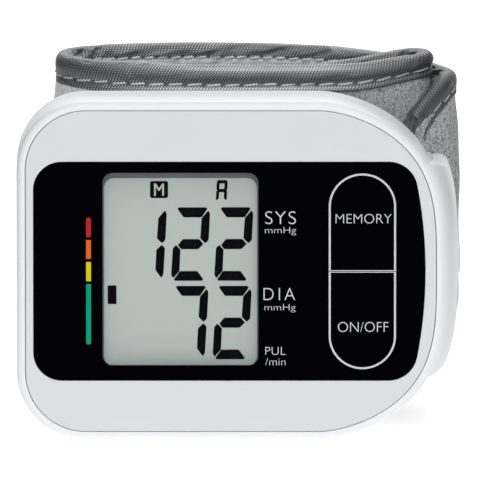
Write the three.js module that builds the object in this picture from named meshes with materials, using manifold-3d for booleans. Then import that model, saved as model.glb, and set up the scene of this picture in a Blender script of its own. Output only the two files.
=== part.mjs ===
// Wrist blood pressure monitor: a case with a display and two keys, on a rolled fabric cuff.
// Millimetres. +Z is up, the face looks along -Y, and the part stands on its bottom centre.
import * as THREE from "three";
import { mergeVertices } from "three/addons/utils/BufferGeometryUtils.js";
import Module from "manifold-3d";

const wasm = await Module();
wasm.setup();

// Clearances
const SEAT = 0.3;              // between a piece and what carries it
const FIT = 0.2;               // round a piece that fills an opening
const SOLDER = 0.1;            // under a soldered piece
const OVERCUT = 1;             // how far a cutting solid runs past the face it opens

// Smoothness
const SIDE_STEPS = 20;         // along the bulged right side of the case
const CORNER_STEPS = 6;        // along a quarter round
const FILLET_STEPS = 3;        // across a rounded edge
const ROUND_SIDES = 12;        // of a round piece

// Case, measured from the middle of the face: x to the right, y up, depth to the back
const FACE_LEFT = -39;         // seam of the face plate, straight left side
const FACE_RIGHT = 39;         // seam of the face plate, middle of the bulged right side
const FACE_HALF_HEIGHT = 30.9; // seam of the face plate, straight top and bottom
const LEFT_CORNER = 11.5;      // radius of the two left corners
const SHOULDER_X = 17;         // where the top runs into the bulged right side
const BULGE_POWER_X = 1.6;     // the right side is |x|^BULGE_POWER_X + |y|^BULGE_POWER_Y = 1
const BULGE_POWER_Y = 3.45;
const RIM = 1.6;               // width of the white rim outside the seam
const RIM_LIP = 0.25;          // flat part of the rim next to the seam
const WALL = 1.8;              // wall of both housings
const LEDGE = 2.5;             // width of the ledge under the face plate
const SPLIT_DEPTH = 11;        // parting line between the two housings
const SPLIT_GAP = 0.2;         // groove along the parting line
const CASE_DEPTH = 22;         // from the face to the flat back
const BACK_WALL = 1.6;
const BACK_INSET = 7.5;        // how far the flat back lies inside the seam
const BACK_BULGE = 2.2;        // power of the curve from the parting line to the flat back

// Face plate, black panel, display opening
const PLATE = 2.2;
const PANEL = 1;
const PANEL_LEFT = -37.4;
const PANEL_RIGHT = 36.8;
const PANEL_HALF_HEIGHT = 21;
const PANEL_LEFT_CORNER = 5.4;
const PANEL_RIGHT_CORNER = 5.5;
const PANEL_BULGE_RADIUS = 88;
const WINDOW_LEFT = -24.3;
const WINDOW_RIGHT = 5.2;
const WINDOW_HALF_HEIGHT = 18.5;
const WINDOW_CORNER = 1.5;
const WINDOW_FLANGE = 0.8;     // hidden rim that holds the clear window behind the panel
const WINDOW_LIP = 0.45;       // panel thickness left in front of that rim

// Keys
const KEY_X = 24.9;
const KEY_HALF_WIDTH = 6.45;
const KEY_HALF_LENGTH = 18.9;
const KEY_FLANGE = 1;
const KEY_FLANGE_THICK = 1;
const KEY_STEM_RADIUS = 2;
const KEY_STEM = 0.7;
const KEY_TRAVEL = 0.5;
const SWITCH_SIDE = 6;
const SWITCH_HEIGHT = 1.2;
const PLUNGER_RADIUS = 1.5;
const PLUNGER_LENGTH = 1.4;

// Display
const GLASS = 1.8;
const GLASS_MARGIN = 2;        // glass hidden behind the plate round the window
const FRAME_WALL = 1.5;
const ZEBRA_WIDTH = 1.5;
const ZEBRA_LENGTH = 24;

// Board and what is soldered to it
const BOARD = 1;
const BOARD_LEFT = -29;
const BOARD_RIGHT = 31;
const BOARD_HALF_HEIGHT = 21.4;
const BOARD_CORNER = 5;
const BOARD_POST_X = 13.3;
const BOARD_POST_Y = 17;
const BOARD_POST_RADIUS = 2.2;
const CHIP_SIDE = 9;
const CHIP_HEIGHT = 1.2;
const CHIP_AT = [-20, -11];
const SENSOR_SIDE = 8;
const SENSOR_HEIGHT = 3;
const SENSOR_AT = [-22, 8.5];
const BUZZER_RADIUS = 3.8;
const BUZZER_HEIGHT = 3;
const BUZZER_AT = [4, -18];

// Screws
const SCREW_RADIUS = 1;
const SCREW_HEAD_RADIUS = 2;
const SCREW_HEAD = 1.4;
const SCREW_BITE = 5;          // thread length inside the boss
const BOARD_SCREW_BITE = 2.6;
const BOSS_WALL = 1.6;
const BOSS_INSET = 4.4;        // boss centre inside the seam
const BOSS_SHOULDER = 3;       // rear housing under the screw head
const BOSS_TURN = 62;          // degrees along the right side where its two bosses stand

// Cells, their bay and the cover on the right side
const CELL_RADIUS = 5.25;
const CELL_LENGTH = 43.5;
const CELL_NUB = 1;
const CELL_NUB_RADIUS = 1.9;
const CELL_EDGE = 0.6;
const CELL_PITCH = 11.2;
const BAY_WALL = 1.2;
const CONTACT = 0.4;
const CONTACT_SIDE = 8;
const COVER_FRONT = 9;         // depth of the cover's front edge
const COVER_RIM = 4.1;         // the cover's outside, measured from the seam
const COVER_HALF_HEIGHT = 18.9;
const COVER_EDGE = 1.5;
const COVER_PLUG = 0.8;        // how far the cover reaches into the bay
const TAB_HALF_HEIGHT = 2.6;
const TAB_RISE = 0.5;
const TAB_DEPTH = 7;

// Air system
const PUMP_RADIUS = 5.8;
const MOTOR_LENGTH = 17;
const PUMP_LENGTH = 9.5;
const PUMP_RIGHT = -1;
const PUMP_Y = 18.5;
const VALVE_SIZE = [12, 9, 9];
const VALVE_Y = -17;
const MANIFOLD_SIZE = [8, 6, 6];
const MANIFOLD_Y = 1;
const MANIFOLD_BAY_GAP = 2.4;  // between the manifold and the bay of the cells
const PORT_RADIUS = 1.2;
const PORT_LENGTH = 2.5;
const SPIGOT_RADIUS = 2;
const TUBE_RADIUS = 1.6;
const TUBE_STEPS = 10;
const TUBE_SIDES = 8;
const PUMP_TUBE_LEAD = 6;
const SENSOR_TUBE_LEAD = 5;

// Cuff: a padded strip rolled up once, with its inner end folded back
const CUFF_WIDTH = 67.6;
const CUFF_HALF = 1.5;         // half the thickness of the padded strip
const LAMINATE = 1.1;          // loop fabric on foam, the outside
const LINING = 0.6;
const STIFFENER = 0.45;
const BLADDER = 0.55;
const BINDING = 0.45;          // thickness of the edge binding
const BINDING_WIDTH = 5.5;
const BINDING_ROUND = 0.9;
const EDGE_GAP = 0.25;         // between the binding and what it folds over
const CUFF_STEPS = 60;
const CUFF_SAMPLES = 600;
const CUFF_BEND = 8;           // a full radian of bend gets as many steps as this length of strip
const END_STEPS = 7;
const FOLD_AT = [33.68, 11.4]; // the inner end is folded back on itself round here
const FOLD_RADIUS = 2.9;
const FOLD_START = 105;        // degrees
const FOLD_TURN = 180;
const FOLD_STEPS = 8;
const FOLD_RISE = 2.1;         // the fold sits a little high in the roll
const FOLD_RUN = 18;           // and comes level over this length on both sides
const FLAP_TAPER = 2.4;        // the flap is narrower than the strip by this at each edge
const FLAP_TAPER_START = 52;   // from the end of the flap
const FLAP_TAPER_RUN = 44;
const CONE_RISE = 7.6;         // the lower edge rises by this towards the right turns
const CONE_FROM = 12;          // beyond this place to the right
const CONE_RUN = 26;
const FLAP_CORNER = 11;
const INNER_CORNER = 7;
const CORE_START = 40;         // the bladder and its stiffener run from here along the strip
const CORE_END = 160;
const CORE_MARGIN = 8;         // from the edges of the strip
const MOUNT_SIZE = [44, 40];
const MOUNT_CORNER = 5;
const PATCH_LENGTH = 9;
const PATCH_HALF_HEIGHT = 17;
const PATCH = 0.45;
const PATCH_MARGIN = 6.5;      // from the end of the flap

// Middle of the strip from above, before and after its fold: x, and depth behind the back of the case
const INNER_END_PLAN = [[13, 9.9], [22, 11], [28.5, 12.85]];
const ROLL_PLAN = [
  [30, 7.35], [20, 5.2], [8, 4], [-6, 3.8], [-19, 5.2], [-28, 8.8], [-31.5, 14.6], [-31, 20.8],
  [-27.2, 25], [-18.5, 27.5], [-8, 29.2], [3, 29.6], [13, 28.3], [22.5, 25.6], [31, 22],
  [37.2, 18.4], [40.2, 15], [41.1, 11], [40.2, 7.2], [38, 4.5], [35.6, 3.15], [33.2, 2.75],
];

// Depths that follow from the stack behind the face
const inside = PLATE + SEAT;
const keyStemEnd = inside + KEY_FLANGE_THICK + KEY_STEM;
const plungerFront = keyStemEnd + FIT;
const switchFront = plungerFront + KEY_TRAVEL + FIT;
const boardFront = switchFront + SWITCH_HEIGHT + SOLDER;
const boardBack = boardFront + BOARD;
const glassBack = inside + GLASS;
const backInside = CASE_DEPTH - BACK_WALL;
const cellDepth = backInside - SEAT - CELL_RADIUS;
const bayHalfHeight = CELL_PITCH / 2 + CELL_RADIUS + SEAT;
const bayFront = cellDepth - CELL_RADIUS - SEAT;
const bayRight = FACE_RIGHT + RIM;
const plugLeft = bayRight + SEAT - COVER_PLUG;
const cellsRight = plugLeft - CONTACT - 2 * SEAT;
const cellsLeft = cellsRight - CELL_LENGTH - CELL_NUB;
const bayLeft = cellsLeft - CONTACT - 2 * SEAT;
const pumpDepth = backInside - SEAT - PUMP_RADIUS;
const manifoldRight = bayLeft - BAY_WALL - MANIFOLD_BAY_GAP;
const manifoldAt = [manifoldRight - MANIFOLD_SIZE[0] / 2, MANIFOLD_Y];
const bottom = -FACE_HALF_HEIGHT - RIM;

// Booleans
function toSolid(geometry) {
  const bare = geometry.clone();
  bare.deleteAttribute("normal");
  bare.deleteAttribute("uv");
  const merged = mergeVertices(bare);
  const corners = Array.from(merged.index.array);
  const triangles = [];
  for (let i = 0; i < corners.length; i += 3) {
    const [a, b, c] = corners.slice(i, i + 3);
    if (a !== b && b !== c && c !== a) triangles.push(a, b, c);
  }
  const mesh = new wasm.Mesh({
    numProp: 3,
    vertProperties: new Float32Array(merged.attributes.position.array),
    triVerts: new Uint32Array(triangles),
  });
  return new wasm.Manifold(mesh);
}

function toGeometry(solid) {
  const mesh = solid.getMesh();
  const geometry = new THREE.BufferGeometry();
  geometry.setAttribute("position", new THREE.BufferAttribute(mesh.vertProperties, 3));
  geometry.setIndex(new THREE.BufferAttribute(mesh.triVerts, 1));
  geometry.computeVertexNormals();
  return geometry;
}

function join(...geometries) {
  return toGeometry(geometries.map(toSolid).reduce((sum, next) => sum.add(next)));
}

function cut(geometry, ...tools) {
  return toGeometry(tools.map(toSolid).reduce((rest, tool) => rest.subtract(tool), toSolid(geometry)));
}

function common(first, second) {
  return toGeometry(toSolid(first).intersect(toSolid(second)));
}

// Closed skin over a row of rings with equally many points; open rows are capped at both ends.
function skin(rings, closed) {
  const size = rings[0].length;
  const index = [];
  const bands = closed ? rings.length : rings.length - 1;
  for (let i = 0; i < bands; i += 1) {
    const here = i * size;
    const next = ((i + 1) % rings.length) * size;
    for (let k = 0; k < size; k += 1) {
      const side = (k + 1) % size;
      index.push(here + k, here + side, next + k, here + side, next + side, next + k);
    }
  }
  if (!closed) {
    const last = bands * size;
    for (let k = 1; k < size - 1; k += 1) {
      index.push(0, k + 1, k, last, last + k, last + k + 1);
    }
  }
  const geometry = new THREE.BufferGeometry();
  const values = rings.flat().flatMap((point) => [point.x, point.y, point.z]);
  geometry.setAttribute("position", new THREE.Float32BufferAttribute(values, 3));
  geometry.setIndex(index);
  geometry.computeVertexNormals();
  return geometry;
}

// Plain pieces, in the case's frame: x to the right, y up, depth backwards
function slab(shape, front, back, arcSteps = CORNER_STEPS) {
  const settings = { depth: back - front, bevelEnabled: false, curveSegments: arcSteps / 2 };
  return new THREE.ExtrudeGeometry(shape, settings).translate(0, 0, -back);
}

function box(left, right, low, high, front, back) {
  const geometry = new THREE.BoxGeometry(right - left, high - low, back - front);
  return geometry.translate((left + right) / 2, (low + high) / 2, -(front + back) / 2);
}

function block([x, y], [width, height], front, back) {
  return box(x - width / 2, x + width / 2, y - height / 2, y + height / 2, front, back);
}

function disc([x, y], radius) {
  return new THREE.Shape().absarc(x, y, radius, 0, 2 * Math.PI, false);
}

function post(at, radius, front, back) {
  return slab(disc(at, radius), front, back, ROUND_SIDES);
}

function rodAlongX(left, right, y, depth, radius) {
  const geometry = new THREE.CylinderGeometry(radius, radius, right - left, ROUND_SIDES);
  return geometry.rotateZ(Math.PI / 2).translate((left + right) / 2, y, -depth);
}

function roundedBox(left, right, low, high, radius) {
  const shape = new THREE.Shape();
  shape.absarc(right - radius, high - radius, radius, 0, Math.PI / 2, false);
  shape.absarc(left + radius, high - radius, radius, Math.PI / 2, Math.PI, false);
  shape.absarc(left + radius, low + radius, radius, Math.PI, 1.5 * Math.PI, false);
  shape.absarc(right - radius, low + radius, radius, 1.5 * Math.PI, 2 * Math.PI, false);
  return shape.closePath();
}

// Outline of the face seam
function bulge(turn) {
  const x = Math.cos(turn) ** (2 / BULGE_POWER_X);
  const y = Math.sign(turn) * Math.abs(Math.sin(turn)) ** (2 / BULGE_POWER_Y);
  return new THREE.Vector2(SHOULDER_X + (FACE_RIGHT - SHOULDER_X) * x, FACE_HALF_HEIGHT * y);
}

function seamPoints() {
  const points = [];
  for (let i = 0; i <= SIDE_STEPS; i += 1) {
    points.push(bulge(Math.PI * (i / SIDE_STEPS - 0.5)));
  }
  for (let i = 0; i <= 2 * CORNER_STEPS + 1; i += 1) {
    const lower = i > CORNER_STEPS;
    const turn = (Math.PI / 2) * (1 + (lower ? i - 1 : i) / CORNER_STEPS);
    const y = (FACE_HALF_HEIGHT - LEFT_CORNER) * (lower ? -1 : 1);
    points.push(new THREE.Vector2(
      FACE_LEFT + LEFT_CORNER * (1 + Math.cos(turn)),
      y + LEFT_CORNER * Math.sin(turn),
    ));
  }
  return points;
}

// The seam moved outwards along its normals; a negative offset moves it inwards
function outline(offset) {
  const points = seamPoints();
  return points.map((point, i) => {
    const before = points.at(i - 1);
    const after = points[(i + 1) % points.length];
    const along = point.clone().sub(before).normalize().add(after.clone().sub(point).normalize());
    const reach = (2 * offset) / along.length();
    const normal = new THREE.Vector2(along.y, -along.x).normalize();
    return point.clone().addScaledVector(normal, reach);
  });
}

function outlineSlab(offset, front, back) {
  return slab(new THREE.Shape(outline(offset)), front, back);
}

// A solid through the outline at several depths, each with its own offset
function loft(levels) {
  const rings = levels.map(([depth, offset]) =>
    outline(offset).map((point) => new THREE.Vector3(point.x, point.y, -depth)));
  return skin(rings.reverse(), false);
}

// Screw places: two in the left corners, two along the bulged right side
function bossPlaces() {
  const corner = LEFT_CORNER + (BOSS_INSET - LEFT_CORNER) * Math.SQRT1_2;
  const left = FACE_LEFT + corner;
  const rightSide = outline(-BOSS_INSET);
  const right = rightSide[Math.round(SIDE_STEPS * (0.5 + BOSS_TURN / 180))];
  const high = FACE_HALF_HEIGHT - corner;
  return [[left, high], [left, -high], [right.x, right.y], [right.x, -right.y]];
}

const bossRadius = SCREW_RADIUS + BOSS_WALL;
const screwHeadFront = SPLIT_DEPTH + SPLIT_GAP + BOSS_SHOULDER;
const caseScrewReach = BOSS_SHOULDER + SPLIT_GAP + SCREW_BITE;
const boardScrewReach = BOARD + BOARD_SCREW_BITE;

// White front housing: rim, ledge under the face plate, side wall and screw bosses
function frontHousing() {
  const levels = [[0, RIM_LIP]];
  for (let i = 1; i <= FILLET_STEPS; i += 1) {
    const turn = (Math.PI / 2) * (i / FILLET_STEPS);
    const radius = RIM - RIM_LIP;
    levels.push([radius * (1 - Math.cos(turn)), RIM_LIP + radius * Math.sin(turn)]);
  }
  levels.push([SPLIT_DEPTH, RIM]);
  const ledgeBack = inside + WALL;
  const shell = cut(
    loft(levels),
    outlineSlab(0, -OVERCUT, inside),
    outlineSlab(-LEDGE, 0, SPLIT_DEPTH),
    outlineSlab(RIM - WALL, ledgeBack, SPLIT_DEPTH + OVERCUT),
    bayHollow(),
  );
  const bosses = bossPlaces().map((at) => post(at, bossRadius, inside, SPLIT_DEPTH));
  const pilots = bossPlaces().map((at) =>
    post(at, SCREW_RADIUS + FIT, SPLIT_DEPTH - SCREW_BITE - SEAT, SPLIT_DEPTH + OVERCUT));
  return cut(join(shell, ...bosses), ...pilots);
}

// Hollow of the cells' bay, open to the right
function bayHollow() {
  return box(bayLeft, bayRight + OVERCUT, -bayHalfHeight, bayHalfHeight, bayFront, backInside);
}

// Rear housing: from the parting line, curving in to the flat back, with the bay for the cells
function rearLevels(wall) {
  const front = SPLIT_DEPTH + SPLIT_GAP;
  const back = CASE_DEPTH - (wall > 0 ? BACK_WALL : 0);
  const levels = [];
  for (let i = 0; i <= 2 * FILLET_STEPS; i += 1) {
    const way = i / (2 * FILLET_STEPS);
    const fall = (RIM + BACK_INSET) * way ** BACK_BULGE;
    levels.push([front + (back - front) * Math.sin((way * Math.PI) / 2), RIM - wall - fall]);
  }
  return levels;
}

function rearHousing() {
  const front = SPLIT_DEPTH + SPLIT_GAP;
  const side = box(SHOULDER_X, bayRight, -COVER_HALF_HEIGHT, COVER_HALF_HEIGHT, front, CASE_DEPTH);
  const skinOuter = join(loft(rearLevels(0)), common(outlineSlab(RIM, front, CASE_DEPTH), side));
  const hollow = loft([[front - OVERCUT, RIM - WALL], ...rearLevels(WALL)]);
  const bayHigh = bayHalfHeight + BAY_WALL;
  const bay = common(
    box(bayLeft - BAY_WALL, bayRight, -bayHigh, bayHigh, bayFront - BAY_WALL, CASE_DEPTH),
    outlineSlab(RIM - WALL - SEAT, bayFront - BAY_WALL, CASE_DEPTH),
  );
  const bosses = bossPlaces().map((at) =>
    common(post(at, SCREW_HEAD_RADIUS + BOSS_WALL, front, CASE_DEPTH), skinOuter));
  const shafts = bossPlaces().flatMap((at) => [
    post(at, SCREW_RADIUS + FIT, front - OVERCUT, CASE_DEPTH),
    post(at, SCREW_HEAD_RADIUS + FIT, screwHeadFront, CASE_DEPTH + OVERCUT),
  ]);
  const hole = post(manifoldAt, SPIGOT_RADIUS + FIT, backInside - OVERCUT, CASE_DEPTH + OVERCUT);
  return cut(join(cut(skinOuter, hollow), bay, ...bosses), bayHollow(), hole, ...shafts);
}

// Face plate with the recess for the black panel, the openings and two posts for the board
function facePlate() {
  const plate = cut(
    outlineSlab(-FIT, 0, PLATE),
    slab(panelShape(FIT), -OVERCUT, PANEL + FIT),
    slab(windowShape(FIT), 0, PLATE + OVERCUT),
    slab(keyPill(FIT), 0, PLATE + OVERCUT),
  );
  const posts = boardPosts().map((at) => post(at, BOARD_POST_RADIUS, PANEL + 2 * FIT, boardFront - SEAT));
  const pilots = boardPosts().map((at) =>
    post(at, SCREW_RADIUS + FIT, boardBack - boardScrewReach - SEAT, boardFront));
  return cut(join(plate, ...posts), ...pilots);
}

function boardPosts() {
  return [[BOARD_POST_X, BOARD_POST_Y], [BOARD_POST_X, -BOARD_POST_Y]];
}

function panelShape(offset) {
  const half = PANEL_HALF_HEIGHT + offset;
  const left = PANEL_LEFT - offset;
  const corner = PANEL_RIGHT_CORNER + offset;
  const leftCorner = PANEL_LEFT_CORNER + offset;
  const rise = half - corner;
  const turn = Math.asin(rise / (PANEL_BULGE_RADIUS + offset - corner));
  const middle = PANEL_RIGHT - PANEL_BULGE_RADIUS;
  const cornerX = middle + (PANEL_BULGE_RADIUS + offset - corner) * Math.cos(turn);
  const shape = new THREE.Shape();
  shape.absarc(middle, 0, PANEL_BULGE_RADIUS + offset, -turn, turn, false);
  shape.absarc(cornerX, rise, corner, turn, Math.PI / 2, false);
  shape.absarc(left + leftCorner, half - leftCorner, leftCorner, Math.PI / 2, Math.PI, false);
  shape.absarc(left + leftCorner, leftCorner - half, leftCorner, Math.PI, 1.5 * Math.PI, false);
  shape.absarc(cornerX, -rise, corner, 1.5 * Math.PI, 2 * Math.PI - turn, false);
  return shape.closePath();
}

function windowShape(offset) {
  const high = WINDOW_HALF_HEIGHT + offset;
  const radius = WINDOW_CORNER + Math.max(offset, 0);
  return roundedBox(WINDOW_LEFT - offset, WINDOW_RIGHT + offset, -high, high, radius);
}

function keyPill(offset) {
  const half = KEY_HALF_WIDTH + offset;
  const high = KEY_HALF_LENGTH + offset;
  return roundedBox(KEY_X - half, KEY_X + half, -high, high, half);
}

function frontPanel() {
  return cut(
    slab(panelShape(0), 0, PANEL),
    slab(windowShape(0), -OVERCUT, PANEL),
    slab(windowShape(WINDOW_FLANGE + FIT), WINDOW_LIP, PANEL + OVERCUT),
    slab(keyPill(0), -OVERCUT, PANEL + OVERCUT),
  );
}

function displayWindow() {
  return join(
    slab(windowShape(-FIT), 0, PANEL),
    slab(windowShape(WINDOW_FLANGE), WINDOW_LIP + FIT, PANEL),
  );
}

// Keys: half a pill each, with a hidden flange and a stem; side is 1 for the upper key
const keyMiddle = (KEY_HALF_LENGTH - FIT) / 2;

function keyShape(side, offset) {
  const half = KEY_HALF_WIDTH - FIT + offset;
  const centre = KEY_HALF_LENGTH - KEY_HALF_WIDTH;
  const shape = new THREE.Shape();
  shape.moveTo(KEY_X - side * half, side * FIT);
  shape.lineTo(KEY_X + side * half, side * FIT);
  shape.absarc(KEY_X, side * centre, half, side > 0 ? 0 : Math.PI, side > 0 ? Math.PI : 2 * Math.PI, false);
  return shape.closePath();
}

function key(side) {
  return join(
    slab(keyShape(side, 0), 0, inside + KEY_FLANGE_THICK),
    slab(keyShape(side, KEY_FLANGE), inside, inside + KEY_FLANGE_THICK),
    post([KEY_X, side * keyMiddle], KEY_STEM_RADIUS, PLATE, keyStemEnd),
  );
}

function keySwitch(side) {
  const at = [KEY_X, side * keyMiddle];
  return cut(
    block(at, [SWITCH_SIDE, SWITCH_SIDE], switchFront, boardFront - SOLDER),
    post(at, PLUNGER_RADIUS + SEAT, switchFront - OVERCUT, boardFront + OVERCUT),
  );
}

function plunger(side) {
  return post([KEY_X, side * keyMiddle], PLUNGER_RADIUS, plungerFront, plungerFront + PLUNGER_LENGTH);
}

// Display stack
function lcdGlass() {
  return slab(windowShape(GLASS_MARGIN), inside, glassBack);
}

function lcdFrame() {
  return cut(
    slab(windowShape(GLASS_MARGIN + SEAT + FRAME_WALL), inside, boardFront - SEAT),
    slab(windowShape(GLASS_MARGIN + SEAT), 0, boardFront),
  );
}

function zebraStrip(side) {
  const at = [(WINDOW_LEFT + WINDOW_RIGHT) / 2, side * (WINDOW_HALF_HEIGHT + GLASS_MARGIN / 2)];
  return block(at, [ZEBRA_LENGTH, ZEBRA_WIDTH], glassBack + SOLDER, boardFront - SOLDER);
}

// Board and its pieces
function mainBoard() {
  const high = BOARD_HALF_HEIGHT;
  const shape = roundedBox(BOARD_LEFT, BOARD_RIGHT, -high, high, BOARD_CORNER);
  const holes = boardPosts().map((at) =>
    post(at, SCREW_RADIUS + FIT, boardFront - OVERCUT, boardBack + OVERCUT));
  return cut(slab(shape, boardFront, boardBack), ...holes);
}

const soldered = boardBack + SOLDER;

function controllerChip() {
  return block(CHIP_AT, [CHIP_SIDE, CHIP_SIDE], soldered, soldered + CHIP_HEIGHT);
}

function buzzer() {
  return post(BUZZER_AT, BUZZER_RADIUS, soldered, soldered + BUZZER_HEIGHT);
}

function pressureSensor() {
  const back = soldered + SENSOR_HEIGHT;
  return join(
    block(SENSOR_AT, [SENSOR_SIDE, SENSOR_SIDE], soldered, back),
    post(SENSOR_AT, PORT_RADIUS, soldered, back + PORT_LENGTH),
  );
}

function screw(at, headFront, bite) {
  return join(
    post(at, SCREW_RADIUS, headFront - bite, headFront + SCREW_HEAD),
    post(at, SCREW_HEAD_RADIUS, headFront, headFront + SCREW_HEAD),
  );
}

// Cells lie along x; turn is 1 when the nub points to the right
function cell(side, turn) {
  const profile = [
    [0, 0], [CELL_RADIUS - CELL_EDGE, 0], [CELL_RADIUS, CELL_EDGE],
    [CELL_RADIUS, CELL_LENGTH - CELL_EDGE], [CELL_RADIUS - CELL_EDGE, CELL_LENGTH],
    [CELL_NUB_RADIUS, CELL_LENGTH], [CELL_NUB_RADIUS, CELL_LENGTH + CELL_NUB], [0, CELL_LENGTH + CELL_NUB],
  ].map(([x, y]) => new THREE.Vector2(x, y));
  const start = turn > 0 ? cellsLeft : cellsRight;
  const geometry = new THREE.LatheGeometry(profile, ROUND_SIDES);
  return geometry.rotateZ((-turn * Math.PI) / 2).translate(start, (side * CELL_PITCH) / 2, -cellDepth);
}

function endContact(side) {
  const left = bayLeft + SEAT;
  const middle = (side * CELL_PITCH) / 2;
  const half = CONTACT_SIDE / 2;
  return box(left, left + CONTACT, middle - half, middle + half, cellDepth - half, cellDepth + half);
}

function bridgeContact() {
  const right = plugLeft - SEAT;
  const high = (CELL_PITCH + CONTACT_SIDE) / 2;
  const half = CONTACT_SIDE / 2;
  return box(right - CONTACT, right, -high, high, cellDepth - half, cellDepth + half);
}

// Cover over the bay: follows the bulged side, with a plug into the bay and a thumb tab
function batteryCover() {
  const back = CASE_DEPTH;
  const outer = loft([
    [COVER_FRONT, COVER_RIM - COVER_EDGE],
    [COVER_FRONT + COVER_EDGE * (1 - Math.SQRT1_2), COVER_RIM - COVER_EDGE * (1 - Math.SQRT1_2)],
    [COVER_FRONT + COVER_EDGE, COVER_RIM],
    [back - COVER_EDGE, COVER_RIM],
    [back, COVER_RIM - COVER_EDGE],
  ]);
  const right = FACE_RIGHT + COVER_RIM;
  const high = COVER_HALF_HEIGHT;
  const ear = common(outer, box(SHOULDER_X, right + OVERCUT, -high, high, 0, back + OVERCUT));
  const shell = cut(ear, outlineSlab(RIM + SEAT, 0, back + OVERCUT));
  const plugHigh = bayHalfHeight - SEAT;
  const plug = box(plugLeft, bayRight + 2 * SEAT, -plugHigh, plugHigh, bayFront + SEAT, backInside - SEAT);
  const tabFront = (COVER_FRONT + back - TAB_DEPTH) / 2;
  const tab = box(right - TAB_RISE, right + TAB_RISE, -TAB_HALF_HEIGHT, TAB_HALF_HEIGHT,
    tabFront, tabFront + TAB_DEPTH);
  return join(shell, plug, tab);
}

// Air system, held against the inside of the flat back
const headLeft = PUMP_RIGHT - MOTOR_LENGTH - SEAT - PUMP_LENGTH;

function pumpMotor() {
  return rodAlongX(PUMP_RIGHT - MOTOR_LENGTH, PUMP_RIGHT, PUMP_Y, pumpDepth, PUMP_RADIUS);
}

function pumpHead() {
  return join(
    rodAlongX(headLeft, headLeft + PUMP_LENGTH, PUMP_Y, pumpDepth, PUMP_RADIUS),
    rodAlongX(headLeft - PORT_LENGTH, headLeft + PORT_LENGTH, PUMP_Y, pumpDepth, PORT_RADIUS),
  );
}

const airDepth = backInside - SEAT - MANIFOLD_SIZE[2] / 2;
const valveTop = VALVE_Y + VALVE_SIZE[1] / 2;

function portAlongY(x, low, high) {
  const geometry = new THREE.CylinderGeometry(PORT_RADIUS, PORT_RADIUS, high - low, ROUND_SIDES);
  return geometry.translate(x, (low + high) / 2, -airDepth);
}

function exhaustValve() {
  const back = backInside - SEAT;
  const [x] = manifoldAt;
  return join(
    block([x, VALVE_Y], VALVE_SIZE, back - VALVE_SIZE[2], back),
    portAlongY(x, VALVE_Y, valveTop + PORT_LENGTH),
  );
}

function airManifold() {
  const [x, y] = manifoldAt;
  const [width, height, depth] = MANIFOLD_SIZE;
  const back = backInside - SEAT;
  return join(
    block(manifoldAt, MANIFOLD_SIZE, back - depth, back),
    portAlongY(x, y - height / 2 - PORT_LENGTH, y + height / 2 + PORT_LENGTH),
    rodAlongX(x - width / 2 - PORT_LENGTH, x, y, airDepth, PORT_RADIUS),
    post(manifoldAt, SPIGOT_RADIUS, back - depth / 2, spigotEnd),
  );
}

// A tube from one port to another, square to both; the leads set how far it bows out
function tube(...points) {
  const corners = points.map(([x, y, depth]) => new THREE.Vector3(x, y, -depth));
  const path = new THREE.CubicBezierCurve3(...corners);
  const settings = { steps: TUBE_STEPS, extrudePath: path, curveSegments: TUBE_SIDES / 2 };
  return new THREE.ExtrudeGeometry(disc([0, 0], TUBE_RADIUS), settings);
}

function pumpTube() {
  const [x, y] = manifoldAt;
  const start = headLeft - PORT_LENGTH - SEAT;
  const end = x - MANIFOLD_SIZE[0] / 2 - PORT_LENGTH - SEAT;
  return tube(
    [start, PUMP_Y, pumpDepth],
    [start - PUMP_TUBE_LEAD, PUMP_Y, pumpDepth],
    [end - 2 * PUMP_TUBE_LEAD, y, airDepth],
    [end, y, airDepth],
  );
}

function valveTube() {
  const [x, y] = manifoldAt;
  const high = y - MANIFOLD_SIZE[1] / 2 - PORT_LENGTH - SEAT;
  const low = valveTop + PORT_LENGTH + SEAT;
  const middle = (high + low) / 2;
  return tube([x, high, airDepth], [x, middle, airDepth], [x, middle, airDepth], [x, low, airDepth]);
}

function sensorTube() {
  const [x, y] = manifoldAt;
  const front = soldered + SENSOR_HEIGHT + PORT_LENGTH + SEAT;
  const low = y + MANIFOLD_SIZE[1] / 2 + PORT_LENGTH + SEAT;
  return tube(
    [...SENSOR_AT, front],
    [...SENSOR_AT, front + SENSOR_TUBE_LEAD],
    [x, low + SENSOR_TUBE_LEAD, airDepth],
    [x, low, airDepth],
  );
}

// Cuff: the round fold of its inner end, then the whole middle line of the strip
function foldPlan() {
  const [x, depth] = FOLD_AT;
  return Array.from({ length: FOLD_STEPS + 1 }, (_, i) => {
    const angle = THREE.MathUtils.degToRad(FOLD_START - (FOLD_TURN * i) / FOLD_STEPS);
    return [x + FOLD_RADIUS * Math.cos(angle), depth + FOLD_RADIUS * Math.sin(angle)];
  });
}

const cuffPlan = [...INNER_END_PLAN, ...foldPlan(), ...ROLL_PLAN];
const planCurve = new THREE.CatmullRomCurve3(
  cuffPlan.map(([x, depth]) => new THREE.Vector3(x, CASE_DEPTH + depth, 0)),
);
const planLengths = planCurve.getLengths(CUFF_SAMPLES * (cuffPlan.length - 1));
const foldAlong = planLengths[CUFF_SAMPLES * (INNER_END_PLAN.length + FOLD_STEPS / 2)];
const cuffLength = planCurve.getLength();
const cuffFront = Math.min(...planCurve.getSpacedPoints(CUFF_SAMPLES)
  .filter((point) => Math.abs(point.x) < MOUNT_SIZE[0] / 2)
  .map((point) => point.y));
const mountBack = cuffFront - CUFF_HALF - SEAT;
const cuffTop = bottom + CUFF_WIDTH;

function smooth(value) {
  const t = Math.min(Math.max(value, 0), 1);
  return t * t * (3 - 2 * t);
}

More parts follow.
